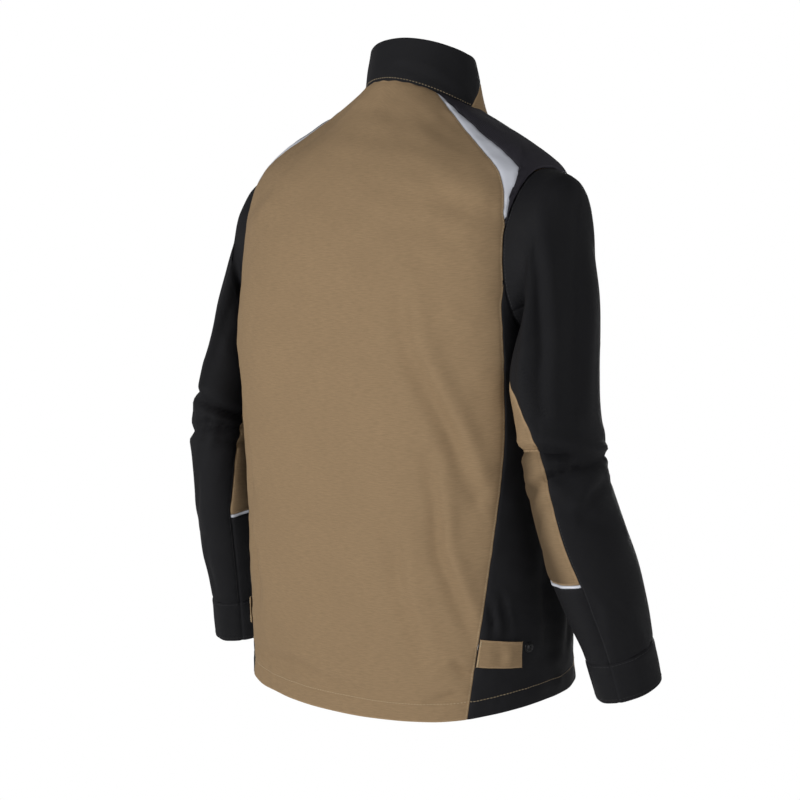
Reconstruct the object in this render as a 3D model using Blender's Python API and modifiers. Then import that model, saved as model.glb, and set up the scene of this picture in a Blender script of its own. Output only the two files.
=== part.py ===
"""Two-tone welding work jacket: stand collar, covered front zip, reflective shoulder wedges.

Metres, +Z up. The origin is the middle of the neck opening at the height of the nape seam.
The front faces -Y and the wearer's right hand is at -X. The jacket hangs as if worn.
"""
import bmesh
import bpy
import numpy as np
from mathutils import Matrix, Vector

# ---------------------------------------------------------------- driving dimensions
# torso rings: height share, half width, centre y, back depth, front depth,
# z at the back, z at the side, z at the front, squareness (1 is an ellipse)
TORSO_RINGS = np.array([
    (0.00, 0.210, 0.026, 0.140, 0.130, -0.735, -0.711, -0.694, 0.78),
    (0.20, 0.214, 0.026, 0.142, 0.126, -0.596, -0.586, -0.576, 0.76),
    (0.40, 0.217, 0.026, 0.145, 0.121, -0.450, -0.445, -0.440, 0.72),
    (0.60, 0.218, 0.028, 0.146, 0.118, -0.300, -0.300, -0.295, 0.66),
    (0.74, 0.210, 0.028, 0.134, 0.114, -0.180, -0.190, -0.195, 0.66),
    (0.85, 0.195, 0.022, 0.110, 0.105, -0.092, -0.108, -0.128, 0.76),
    (0.93, 0.132, 0.008, 0.086, 0.090, -0.036, -0.062, -0.095, 0.92),
    (1.00, 0.074, 0.000, 0.074, 0.081, 0.000, -0.031, -0.066, 1.00),
])
# armhole on the torso: middle heading, reach to the back and front, top and bottom height share
ARM_HEADING = np.radians(90)
ARM_BACK = np.radians(25)
ARM_FRONT = np.radians(17)
ARM_TOP = 0.850
ARM_BOTTOM = 0.605
NOTCH = 0.7625          # height share where back, wedge and yoke meet the armhole
# sleeve rings: distance down the sleeve, tilt from upright, outward x, y, z,
# radius across the tilt, radius front to back
SLEEVE_RINGS = np.array([
    (0.020, 3, 0.228, 0.046, -0.205, 0.084, 0.054),
    (0.053, 12, 0.236, 0.050, -0.238, 0.064, 0.056),
    (0.098, 26, 0.243, 0.056, -0.282, 0.048, 0.060),
    (0.155, 50, 0.249, 0.064, -0.338, 0.038, 0.062),
    (0.217, 80, 0.258, 0.072, -0.400, 0.034, 0.061),
    (0.257, 88, 0.263, 0.074, -0.440, 0.038, 0.060),
    (0.303, 88, 0.267, 0.067, -0.485, 0.041, 0.058),
    (0.382, 84, 0.280, 0.044, -0.560, 0.044, 0.056),
    (0.462, 84, 0.291, 0.020, -0.635, 0.037, 0.048),
    (0.530, 84, 0.299, 0.004, -0.700, 0.034, 0.044),
])
CLOTH = 0.0022          # thickness of a panel
SEAM = 0.0005           # half the space left along a seam
SLEEVE_SEAM = 0.020     # the same along a sleeve, as an angle round it
COLLAR_HEIGHT = 0.050
COLLAR_SIDE_RISE = 0.006
COLLAR_THICK = 0.0036

UNDER_FULL = {"right": 0.245, "left": 0.340}   # distance down at which the under-sleeve is full
ELBOW_SPREAD = np.tan(np.radians(20.5))   # how fast the elbow fold opens towards the front of the arm
ELBOW_BACK = 0.004      # half height of the elbow fold at the back of the arm
SWING_HALF = 0.0155     # half height of the underarm fold in the middle of the sleeve
SWING_SPREAD = 0.094    # how fast it opens towards the front
SLEEVE_START = 0.0035
INLAY_TOP = 0.125
PIPING_AT = {"right": 0.367, "left": 0.348}
CUFF_AT = 0.476
CUFF_END = 0.530
UNDER_WIDE = np.radians(60)                                       # half width of the under-sleeve
UNDER_AT = {"right": np.radians(128), "left": np.radians(196)}    # where it faces on each arm

FRONT_EDGE = 0.012      # x of the front panels' edges
ZIP_TOP_Z = -0.020
ZIP_BOTTOM_Z = -0.680
TEETH_WIDE = 0.0032
LEAN = -np.arctan(0.0372)                    # the zip line leans back as it climbs

WEDGE_GAP = 0.014       # space left between wedge and yoke, as an angle
ARM_MID = (ARM_TOP + ARM_BOTTOM) / 2
ARM_HALF = (ARM_TOP - ARM_BOTTOM) / 2
YOKE_CORNER = np.radians(308)                # turn round the armhole where the yoke's front seam starts
YOKE_FRONT = np.array([(103.55, 0.8092), (112.0, 0.875), (125.0, 1.0)])   # that seam's headings and heights
COLLAR_SEAM = (84.0, 128.0)                  # heading of the black and brown seam, low and high
COLLAR_END = np.pi - 0.255
CUFF_THICK = 0.0036
SWING_AXIS = (0.062, -0.335)                 # y and z of the line the sleeve swings about
ELBOW_AXIS = (0.134, -0.428)                 # y and z of the line the forearm folds about

FLAP_HINGE_X = 0.030                         # storm flap, hung on the wearer's left
FLAP_WIDE = 0.056
FLAP_TOP_Z = -0.078
FLAP_BOTTOM_Z = -0.676
FLAP_THICK = 0.0028
FLAP_PROUD = 0.0085                          # space behind the flap for the slider
POCKET = (131.0, 165.0, 0.50, 0.665)         # chest pocket: headings and height shares
POCKET_FLAP_LOW = 0.610
HANGER_HALF = 0.030
HANGER_Y = 0.060
WELT = (131.0, 146.0, 0.130, 0.350)          # slanted hand pocket: outer and inner heading, low and high
TAB = (53.6, 74.5, 0.088, 0.132)             # waist tab
STUD_AT = (78.4, 0.110)

BROWN = (0.275, 0.188, 0.106)
BLACK = (0.013, 0.013, 0.015)
NAVY = (0.027, 0.026, 0.031)
SILVER = (0.48, 0.50, 0.56)
METAL = (0.30, 0.30, 0.31)

LOOKS = {               # colour, roughness and metallic value of each material
    "brown": (BROWN, 0.88),
    "black": (BLACK, 0.85),
    "navy": (NAVY, 0.86),
    "silver": (SILVER, 0.45),
    "metal": (METAL, 0.35, 1.0),
    "plastic": (BLACK, 0.45),
}
SIDES = {"right": 1, "left": -1}     # multiplies x; the shapes below are drawn for the right
OBJECT_NAME = "welding_jacket"


# ---------------------------------------------------------------- curves and surfaces
def spline(knots, values, t):
    """Smooth curve through rows of values, read at t."""
    values = np.asarray(values, float)
    t = np.clip(t, knots[0], knots[-1])
    slopes = np.gradient(values, knots, axis=0)
    i = np.clip(np.searchsorted(knots, t, side="right") - 1, 0, len(knots) - 2)
    h = knots[i + 1] - knots[i]
    u = (t - knots[i]) / h
    start, rise = values[i], values[i + 1] - values[i]
    leave, arrive = slopes[i] * h, slopes[i + 1] * h
    return start + u * (leave + u * ((3 * rise - 2 * leave - arrive) + u * (leave + arrive - 2 * rise)))


def power(value, exponent):
    return np.sign(value) * np.abs(value) ** exponent


def torso(phi, v, lift=0.0):
    """Point on the torso: phi turns from the back to the wearer's right, v climbs from hem to neck."""
    phi, v = np.broadcast_arrays(np.asarray(phi, float), np.asarray(v, float))
    half, mid, back, front, z_back, z_side, z_front, square = (
        spline(TORSO_RINGS[:, 0], column, v) for column in TORSO_RINGS[:, 1:].T)
    s, c = np.sin(phi), np.cos(phi)
    x = -(half + lift) * power(s, square)
    y = mid + (np.where(c > 0, back, front) + lift) * power(c, square)
    z = z_side + np.where(c > 0, z_back - z_side, z_front - z_side) * np.abs(c) ** 1.4
    return np.stack([x, y, z], -1)


def armhole_key(psi):
    """Heading and height share of the armhole edge; psi is 0 at the top and grows to the back."""
    c, s = np.cos(psi), np.sin(psi)
    phi = ARM_HEADING - np.where(s > 0, ARM_BACK, ARM_FRONT) * power(s, 0.9)
    v = (ARM_TOP + ARM_BOTTOM) / 2 + (ARM_TOP - ARM_BOTTOM) / 2 * power(c, 0.9)
    return phi, v


def sleeve_frames():
    """Centre, across direction and back direction of every sleeve ring."""
    centres = SLEEVE_RINGS[:, 2:5] * (-1, 1, 1)
    run = np.gradient(centres, axis=0)
    lean = np.arcsin(run[:, 1] / np.linalg.norm(run, axis=1))
    tilt = np.radians(SLEEVE_RINGS[:, 1])
    none = np.zeros_like(tilt)
    across = np.stack([-np.sin(tilt), none, np.cos(tilt)], -1)
    down = np.stack([-np.cos(tilt), none, -np.sin(tilt)], -1)
    back = np.stack([none, np.cos(lean), none], -1) - down * np.sin(lean)[:, None]
    return centres, across, back


def sleeve(psi, w):
    """Point on the right sleeve: psi turns from the top or outside to the back, w runs to the cuff."""
    psi, w = np.broadcast_arrays(np.asarray(psi, float), np.asarray(w, float))
    centres, across, back = sleeve_frames()
    rings = [torso(*armhole_key(psi))]
    for k, row in enumerate(SLEEVE_RINGS):
        rings.append(centres[k] + row[5] * np.cos(psi)[..., None] * across[k]
                     + row[6] * np.sin(psi)[..., None] * back[k])
    rings = np.stack(rings)
    knots = np.concatenate([[0.0], SLEEVE_RINGS[:, 0]])
    slopes = np.gradient(rings, knots, axis=0)
    i = np.clip(np.searchsorted(knots, w, side="right") - 1, 0, len(knots) - 2)
    h = (knots[i + 1] - knots[i])[..., None]
    u = (w - knots[i])[..., None] / h

    def pick(rows, index):
        return np.take_along_axis(rows, index[None, ..., None], 0)[0]

    start, rise = pick(rings, i), pick(rings, i + 1) - pick(rings, i)
    leave, arrive = pick(slopes, i) * h, pick(slopes, i + 1) * h
    return start + u * (leave + u * ((3 * rise - 2 * leave - arrive) + u * (leave + arrive - 2 * rise)))


def collar(phi, t):
    """Point on the stand collar: t is 0 at the neck seam and 1 at the top edge."""
    base = torso(phi, 1.0)
    lean = -0.003 * (1 + np.cos(phi))
    rise = COLLAR_HEIGHT + COLLAR_SIDE_RISE * np.sin(phi) ** 2
    top = base * (0.95, 0.95, 1.0)
    top[..., 1] += lean
    top[..., 2] += rise
    return base + (top - base) * np.asarray(t)[..., None]


def track(z):
    """y of the straight zip line down the centre front."""
    return -0.0790 + 0.0372 * z


# ---------------------------------------------------------------- seams on the torso, as heading and height
def back_seam(v):
    """Heading of the seam between the back and the side or shoulder."""
    knots = np.array([0.0, 0.1375, 0.275, 0.3875, 0.475, 0.55, 0.65, 0.7625, 0.8375, 0.875, 0.93, 1.0])
    headings = np.radians([48.7, 53.3, 58.6, 63.0, 65.2, 65.2, 64.4, 64.2, 61.3, 56.4, 50.6, 48.7])
    return spline(knots, headings, v)


def front_seam(v):
    """Heading of the seam between the side and the front."""
    return np.radians(spline(np.array([0.0, 0.35, 0.7275]), np.array([112.0, 109.0, 107.0]), v))


def wedge_edge(t):
    """Outer edge of the reflective wedge from the neck (t 0) to the armhole's back (t 1)."""
    knots = np.array([0.0, 0.36, 0.63, 0.83, 1.0])
    phi = np.radians(np.interp(t, knots, [51.0, 60.7, 72.8, 66.6, 65.2]))
    v = np.interp(t, knots, [1.0, 0.9156, 0.850, 0.8031, NOTCH])
    return np.stack([phi, v], -1)


def wedge_inner(t):
    v = 1.0 + (NOTCH - 1.0) * t
    return np.stack([back_seam(v) + 0.008, v], -1)


def arm_arc(start, end):
    """Edge of the armhole between two turns, as heading and height share."""
    def at(t):
        return np.stack(armhole_key(start + (end - start) * t), -1)
    return at


def polyline(*corners):
    """Curve through corners given as heading in degrees and height share."""
    points = np.array([(np.radians(a), b) for a, b in corners])
    steps = np.concatenate([[0], np.cumsum(np.linalg.norm(np.diff(points, axis=0), axis=1))])

    def at(t):
        return np.stack([np.interp(t * steps[-1], steps, points[:, k]) for k in (0, 1)], -1)
    return at


def fill(bottom, top, left, right, s, t):
    """Keys inside four edge curves, at shares s across and t up."""
    ends = np.array([0.0, 1.0])
    (b0, b1), (u0, u1) = bottom(ends), top(ends)
    sg, tg = s[:, None], t[:, None]
    across = (1 - tg) * bottom(s) + tg * top(s)
    along = (1 - sg) * left(t) + sg * right(t)
    corners = (1 - sg) * (1 - tg) * b0 + sg * (1 - tg) * b1 + (1 - sg) * tg * u0 + sg * tg * u1
    return across + along - corners


# ---------------------------------------------------------------- objects
def material(name, colour, roughness, metallic=0.0):
    made = bpy.data.materials.new(name)
    made.use_nodes = True
    shader = made.node_tree.nodes["Principled BSDF"]
    shader.inputs["Base Color"].default_value = (*colour, 1.0)
    shader.inputs["Roughness"].default_value = roughness
    shader.inputs["Metallic"].default_value = metallic
    made.diffuse_color = (*colour, 1.0)
    return made


def add_object(name, shape, look, origin=(0.0, 0.0, 0.0)):
    """Turn a finished bmesh into a named object whose origin is its joint or its middle."""
    bmesh.ops.translate(shape, verts=shape.verts, vec=-Vector(origin))
    mesh = bpy.data.meshes.new(name)
    shape.to_mesh(mesh)
    shape.free()
    made = bpy.data.objects.new(name, mesh)
    made.location = origin
    bpy.data.collections[OBJECT_NAME].objects.link(made)
    made.data.materials.append(material(name, *LOOKS[look]))
    return made


def panel(name, surface, across, along, look, thick=CLOTH, origin=(0.0, 0.0, 0.0), mirror=1):
    """A cloth panel: a flat grid laid on a surface, its outer face out, given thickness inwards."""
    shape = bmesh.new()
    bmesh.ops.create_grid(shape, x_segments=across, y_segments=along, size=0.5)
    flat = np.array([vert.co for vert in shape.verts]) + 0.5
    for vert, point in zip(shape.verts, surface(flat[:, 0], flat[:, 1])):
        vert.co = (mirror * point[0], point[1], point[2])
    if mirror < 0:
        bmesh.ops.reverse_faces(shape, faces=shape.faces)
    made = add_object(name, shape, look, origin)
    shell = made.modifiers.new("thickness", "SOLIDIFY")
    shell.thickness = thick
    shell.offset = -1.0
    shell.use_even_offset = True
    return made


def block(name, size, centre, look, origin=None, bevel=0.0, tilt=0.0):
    """A rectangular piece, tilted about X, its edges broken."""
    shape = bmesh.new()
    bmesh.ops.create_cube(shape, size=1.0)
    bmesh.ops.scale(shape, verts=shape.verts, vec=size)
    bmesh.ops.rotate(shape, verts=shape.verts, matrix=Matrix.Rotation(tilt, 3, "X"))
    bmesh.ops.translate(shape, verts=shape.verts, vec=centre)
    made = add_object(name, shape, look, centre if origin is None else origin)
    if bevel:
        edge = made.modifiers.new("bevel", "BEVEL")
        edge.width = bevel
        edge.segments = 2
    return made


def disc(name, radius, depth, centre, outward, look):
    """A round stud whose axis points outward."""
    shape = bmesh.new()
    bmesh.ops.create_cone(shape, cap_ends=True, segments=20, radius1=radius, radius2=radius * 0.8,
                          depth=depth)
    turn = Vector((0, 0, 1)).rotation_difference(Vector(outward)).to_matrix()
    bmesh.ops.rotate(shape, verts=shape.verts, matrix=turn)
    bmesh.ops.translate(shape, verts=shape.verts, vec=centre)
    return add_object(name, shape, look, centre)


def edges_surface(bottom, top, left, right, width, height, lift=0.0):
    """Torso surface inside four edge curves, drawn in by half a seam on every side."""
    def at(s, t):
        keys = fill(bottom, top, left, right, SEAM / width + s * (1 - 2 * SEAM / width),
                    SEAM / height + t * (1 - 2 * SEAM / height))
        return torso(keys[:, 0], keys[:, 1], lift)
    return at


def patch_surface(phi_start, phi_end, v_low, v_high, lift):
    """Rectangular patch laid on the torso, from one heading and height share to another."""
    def at(s, t):
        return torso(phi_start + (phi_end - phi_start) * s, v_low + (v_high - v_low) * t, lift)
    return at


# ---------------------------------------------------------------- body panels
def level(v, start, end):
    """Edge at one height share from one heading to another."""
    def at(t):
        return np.stack([start + (end - start) * t, np.full_like(t, v)], -1)
    return at


def upright(heading, low, high):
    """Edge that follows a seam from one height share to another."""
    def at(t):
        v = low + (high - low) * t
        return np.stack([heading(v), v], -1)
    return at


def centre_edge(v):
    """Heading of the front panel's edge beside the zip."""
    half = spline(TORSO_RINGS[:, 0], TORSO_RINGS[:, 1], v)
    square = spline(TORSO_RINGS[:, 0], TORSO_RINGS[:, 8], v)
    return np.pi - np.arcsin((FRONT_EDGE / half) ** (1 / square))


def build_back():
    neck, hem = back_seam(np.array(1.0)), back_seam(np.array(0.0))
    surface = edges_surface(level(0.0, -hem, hem), level(1.0, -neck, neck),
                            upright(lambda v: -back_seam(v), 0.0, 1.0), upright(back_seam, 0.0, 1.0),
                            0.36, 0.74)
    panel("back_panel", surface, 12, 16, "brown")


def build_side(side, mirror):
    start, end = np.radians(103), np.radians(268)
    low, high = back_seam(np.array(0.0)), front_seam(np.array(0.0))
    top_back, top_front = armhole_key(np.array(start))[1], armhole_key(np.array(end))[1]
    surface = edges_surface(level(0.0, low + 0.007, high), arm_arc(start, end),
                            upright(lambda v: back_seam(v) + 0.007, 0.0, top_back),
                            upright(front_seam, 0.0, top_front), 0.19, 0.45)
    panel("side_panel_" + side, surface, 8, 10, "black", mirror=mirror)


def front_outer(v):
    """Heading of the front panel's outer edge: side seam, then armhole, then the yoke's front seam."""
    share = np.clip((v - ARM_MID) / ARM_HALF, 0.0, 1.0) ** (1 / 0.9)
    arm = ARM_HEADING + ARM_FRONT * (1 - share ** 2) ** 0.45
    yoke = np.radians(np.interp(v, YOKE_FRONT[:, 1], YOKE_FRONT[:, 0]))
    return np.where(v < ARM_MID, front_seam(v), np.where(v < YOKE_FRONT[0, 1], arm, yoke))


def build_front(side, mirror):
    def surface(s, t):
        v = SEAM / 0.64 + t * (1 - 2 * SEAM / 0.64)
        start, end = front_outer(v) + SEAM / 0.2, centre_edge(v)
        return torso(start + (end - start) * s, v)

    panel("front_panel_" + side, surface, 9, 16, "brown", mirror=mirror)


def build_shoulder(side, mirror):
    notch = np.arccos(((NOTCH - ARM_MID) / ARM_HALF) ** (1 / 0.9))
    front = polyline(*YOKE_FRONT[::-1])
    neck = level(1.0, np.radians(52.0), np.radians(YOKE_FRONT[-1, 0]))
    surface = edges_surface(arm_arc(notch, YOKE_CORNER - 2 * np.pi), neck, lambda t: wedge_edge(1 - t),
                            lambda t: front(1 - t), 0.12, 0.2)
    panel("shoulder_yoke_" + side, surface, 9, 11, "navy", mirror=mirror)
    wedge = edges_surface(level(NOTCH, back_seam(np.array(NOTCH)), np.radians(65.2)),
                          level(1.0, np.radians(49.0), np.radians(51.0)),
                          lambda t: wedge_inner(1 - t), lambda t: wedge_edge(1 - t) - (WEDGE_GAP, 0.0),
                          0.030, 0.2)
    panel("reflective_wedge_" + side, wedge, 2, 11, "silver", mirror=mirror)


def build_collar():
    low, high = np.radians(COLLAR_SEAM)

    def back_piece(s, t):
        reach = low + (high - low) * t - 0.006
        return collar(-reach + 2 * reach * s, 0.012 + 0.988 * t)

    def front_piece(s, t):
        reach = low + (high - low) * t + 0.006
        return collar(reach + (COLLAR_END - reach) * s, 0.012 + 0.988 * t)

    panel("collar_back", back_piece, 14, 4, "black", COLLAR_THICK)
    for side, mirror in SIDES.items():
        panel("collar_front_" + side, front_piece, 5, 4, "brown", COLLAR_THICK, mirror=mirror)


# ---------------------------------------------------------------- sleeves
def under_half(w, side):
    """Half width of the brown under-sleeve: a point at the top that widens past the elbow."""
    return np.clip(UNDER_WIDE * (w - INLAY_TOP) / (UNDER_FULL[side] - INLAY_TOP), 0.006, UNDER_WIDE)


def cut(psi, height):
    """Distance down the sleeve where it meets a sloping plane, whose height at a y is given."""
    low, high = np.full_like(psi, 0.004), np.full_like(psi, 0.36)
    for _ in range(30):
        middle = (low + high) / 2
        point = sleeve(psi, middle)
        above = point[..., 2] > height(point[..., 1])
        low, high = np.where(above, middle, low), np.where(above, high, middle)
    return (low + high) / 2


def elbow_cut(psi, way):
    """Upper (1) or lower (-1) edge of the elbow fold."""
    return cut(psi, lambda y: ELBOW_AXIS[1] + way * (ELBOW_BACK + ELBOW_SPREAD * (ELBOW_AXIS[0] - y)))


def swing_cut(psi, way):
    """Upper (1) or lower (-1) edge of the underarm fold."""
    return cut(psi, lambda y: SWING_AXIS[1] + way * (SWING_HALF + SWING_SPREAD * (SWING_AXIS[0] - y)))


def sleeve_surface(psi_from, psi_to, w_from, w_to):
    """Sleeve surface between two lengthwise and two crosswise edges, which may follow each other."""
    def at(s, t):
        w = np.full_like(s, 0.3)
        for _ in range(6):
            start, end = psi_from(w), psi_to(w)
            inset = SLEEVE_SEAM / (end - start)
            psi = start + (end - start) * (inset + s * (1 - 2 * inset))
            w = w_from(psi) + SEAM + (w_to(psi) - w_from(psi) - 2 * SEAM) * t
        return sleeve(psi, w)
    return at


def at_w(value):
    return lambda psi: np.full_like(psi, value)


def build_sleeve(side, mirror):
    middle, piping = UNDER_AT[side], PIPING_AT[side]

    def under_start(w):
        return middle - under_half(w, side)

    def under_end(w):
        return middle + under_half(w, side)

    def round_start(w):
        return middle + under_half(w, side)

    def round_end(w):
        return middle - under_half(w, side) + 2 * np.pi

    def seam_start(w):
        return np.full_like(w, middle - UNDER_WIDE)

    def seam_end(w):
        return np.full_like(w, middle - UNDER_WIDE + 2 * np.pi)

    def cap_end(psi):
        return swing_cut(psi, 1)

    def start(psi):
        return swing_cut(psi, -1)

    def inlay_top(psi):
        return start(psi) + 0.006

    def upper(psi):
        return elbow_cut(psi, 1)

    def lower(psi):
        return elbow_cut(psi, -1)

    shoulder = (mirror * -0.249, *SWING_AXIS)
    elbow = (mirror * -0.265, *ELBOW_AXIS)
    none = (0.0, 0.0, 0.0)
    pieces = (
        ("sleeve_cap_", seam_start, seam_end, at_w(SLEEVE_START), cap_end, 20, 6, "black", none),
        ("underarm_fold_", seam_start, seam_end, cap_end, start, 20, 1, "black", shoulder),
        ("upper_sleeve_", round_start, round_end, start, upper, 20, 4, "black", shoulder),
        ("sleeve_inlay_", under_start, under_end, inlay_top, upper, 4, 3, "brown", shoulder),
        ("elbow_fold_", seam_start, seam_end, upper, lower, 20, 2, "black", elbow),
        ("elbow_patch_", under_start, under_end, lower, at_w(piping - 0.002), 6, 5, "brown", elbow),
        ("sleeve_piping_", under_start, under_end, at_w(piping - 0.002), at_w(piping + 0.002), 6, 1,
         "silver", elbow),
        ("forearm_sleeve_", round_start, round_end, lower, at_w(CUFF_AT), 14, 7, "black", elbow),
        ("forearm_under_", under_start, under_end, at_w(piping + 0.002), at_w(CUFF_AT), 6, 2, "black",
         elbow),
        ("cuff_", seam_start, seam_end, at_w(CUFF_AT), at_w(CUFF_END), 20, 2, "black", elbow),
    )
    for name, first, last, top, bottom, across, along, look, origin in pieces:
        surface = sleeve_surface(first, last, top, bottom)
        thick = CUFF_THICK if name == "cuff_" else CLOTH
        panel(name + side, surface, across, along, look, thick, origin, mirror)


# ---------------------------------------------------------------- front fastening
def build_zip():
    length = ZIP_TOP_Z - ZIP_BOTTOM_Z
    middle = (ZIP_TOP_Z + ZIP_BOTTOM_Z) / 2
    for side, mirror in SIDES.items():
        block("zip_teeth_" + side, (TEETH_WIDE, 0.0024, length),
              (-mirror * (0.0003 + TEETH_WIDE / 2), track(middle) + 0.0014, middle), "metal", tilt=LEAN)
        block("zip_tape_" + side, (0.0107, 0.0008, length),
              (-mirror * 0.00915, track(middle) + 0.0050, middle), "plastic", tilt=LEAN)
    stop_z = ZIP_BOTTOM_Z - 0.0055
    block("zip_stop", (0.0110, 0.0050, 0.0090), (0, track(stop_z) + 0.0010, stop_z), "metal", bevel=0.0008,
          tilt=LEAN)
    build_slider()


def build_slider():
    """Slider: a plate in front of the teeth with a lip down each side, and a pull hung on it."""
    z = ZIP_TOP_Z - 0.010
    y = track(z)
    shape = bmesh.new()
    bmesh.ops.create_cube(shape, size=1.0)
    bmesh.ops.scale(shape, verts=shape.verts, vec=(0.0118, 0.0026, 0.0140))
    for x in (-0.0041, 0.0041):
        geometry = shape.verts[:] + shape.edges[:] + shape.faces[:]
        bmesh.ops.bisect_plane(shape, geom=geometry, plane_co=(x, 0, 0), plane_no=(1, 0, 0))
    lips = [face for face in shape.faces
            if face.normal.y > 0.5 and abs(face.calc_center_median().x) > 0.0041]
    for face in lips:
        grown = bmesh.ops.extrude_face_region(shape, geom=[face])["geom"]
        corners = [item for item in grown if isinstance(item, bmesh.types.BMVert)]
        bmesh.ops.translate(shape, verts=corners, vec=(0, 0.0026, 0))
        bmesh.ops.delete(shape, geom=[face], context="FACES_ONLY")
    bmesh.ops.rotate(shape, verts=shape.verts, matrix=Matrix.Rotation(LEAN, 3, "X"))
    bmesh.ops.translate(shape, verts=shape.verts, vec=(0, y - 0.0017, z))
    add_object("zip_slider", shape, "metal", (0, y - 0.0017, z))
    block("zip_pull", (0.0070, 0.0014, 0.0260), (0, y - 0.0046, z - 0.0110), "metal",
          (0, y - 0.0046, z + 0.0010), 0.0004, LEAN)


def build_storm_flap():
    middle, length = (FLAP_TOP_Z + FLAP_BOTTOM_Z) / 2, FLAP_TOP_Z - FLAP_BOTTOM_Z
    y = track(middle) - FLAP_PROUD
    block("storm_flap", (FLAP_WIDE, FLAP_THICK, length),
          (FLAP_HINGE_X - 0.0004 - FLAP_WIDE / 2, y - FLAP_THICK / 2, middle), "brown",
          (FLAP_HINGE_X, y - FLAP_THICK - 0.0003, middle), 0.0006, LEAN)
    block("flap_root", (0.0120, FLAP_PROUD + FLAP_THICK - 0.0014, length),
          (FLAP_HINGE_X + 0.0064, y - FLAP_THICK / 2 + (FLAP_PROUD - 0.0014) / 2, middle), "brown",
          bevel=0.0006, tilt=LEAN)


def build_pockets(side, mirror):
    outer, inner, low, high = POCKET
    outer, inner = np.radians(outer), np.radians(inner)
    body = patch_surface(outer, inner, low, high, CLOTH + 0.0006)
    panel("chest_pocket_" + side, body, 5, 4, "brown", mirror=mirror)
    cover = patch_surface(outer - 0.01, inner + 0.01, POCKET_FLAP_LOW, high + 0.006, 2 * CLOTH + 0.0014)
    hinge = torso((outer + inner) / 2, high + 0.006, 2 * CLOTH + 0.0014)
    panel("chest_flap_" + side, cover, 5, 2, "brown", mirror=mirror,
          origin=(mirror * hinge[0], hinge[1], hinge[2]))
    welt_out, welt_in, welt_low, welt_high = WELT

    def welt(s, t):
        phi = np.radians(welt_out + (welt_in - welt_out) * t + 8.0 * s)
        return torso(phi, welt_low + (welt_high - welt_low) * t, CLOTH + 0.0006)

    panel("hand_pocket_welt_" + side, welt, 2, 8, "black", mirror=mirror)


def build_waist(side, mirror):
    start, end, low, high = TAB
    strap = patch_surface(np.radians(start), np.radians(end), low, high, CLOTH + 0.0006)
    hinge = torso(np.radians(start), (low + high) / 2, CLOTH + 0.0006)
    panel("waist_tab_" + side, strap, 6, 2, "brown", mirror=mirror,
          origin=(mirror * hinge[0], hinge[1], hinge[2]))
    phi, v = np.radians(STUD_AT[0]), STUD_AT[1]
    spot = torso(phi, v, 0.0022)
    outward = torso(phi, v, 0.02) - torso(phi, v)
    disc("waist_stud_" + side, 0.0055, 0.0030, (mirror * spot[0], spot[1], spot[2]),
         (mirror * outward[0], outward[1], outward[2]), "plastic")


def build_hanger():
    """Loop of tape inside the nape, its middle sagging below its two sewn ends."""
    def strap(s, t):
        x = HANGER_HALF * (2 * s - 1)
        y = np.full_like(s, HANGER_Y) - 0.004 * (1 - (2 * s - 1) ** 2)
        z = -0.014 - 0.012 * (1 - (2 * s - 1) ** 2) + 0.008 * t
        return np.stack([x, y, z], -1)

    panel("hanger_loop", strap, 10, 1, "black", 0.0016)


def main():
    for made in list(bpy.data.objects):
        bpy.data.objects.remove(made, do_unlink=True)
    bpy.context.scene.collection.children.link(bpy.data.collections.new(OBJECT_NAME))
    build_back()
    build_collar()
    for side, mirror in SIDES.items():
        build_side(side, mirror)
        build_front(side, mirror)
        build_shoulder(side, mirror)
        build_sleeve(side, mirror)
        build_pockets(side, mirror)
        build_waist(side, mirror)
    build_zip()
    build_storm_flap()
    build_hanger()


main()
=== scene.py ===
"""Looks of the two-tone welding work jacket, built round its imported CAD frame.

Metres, +Z up, front at -Y, wearer's right hand at -X. Every cloth panel is a grid laid on the same
surfaces as the CAD panels, with folds, seams, thickness and stitching added in mesh code.
"""

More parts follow.
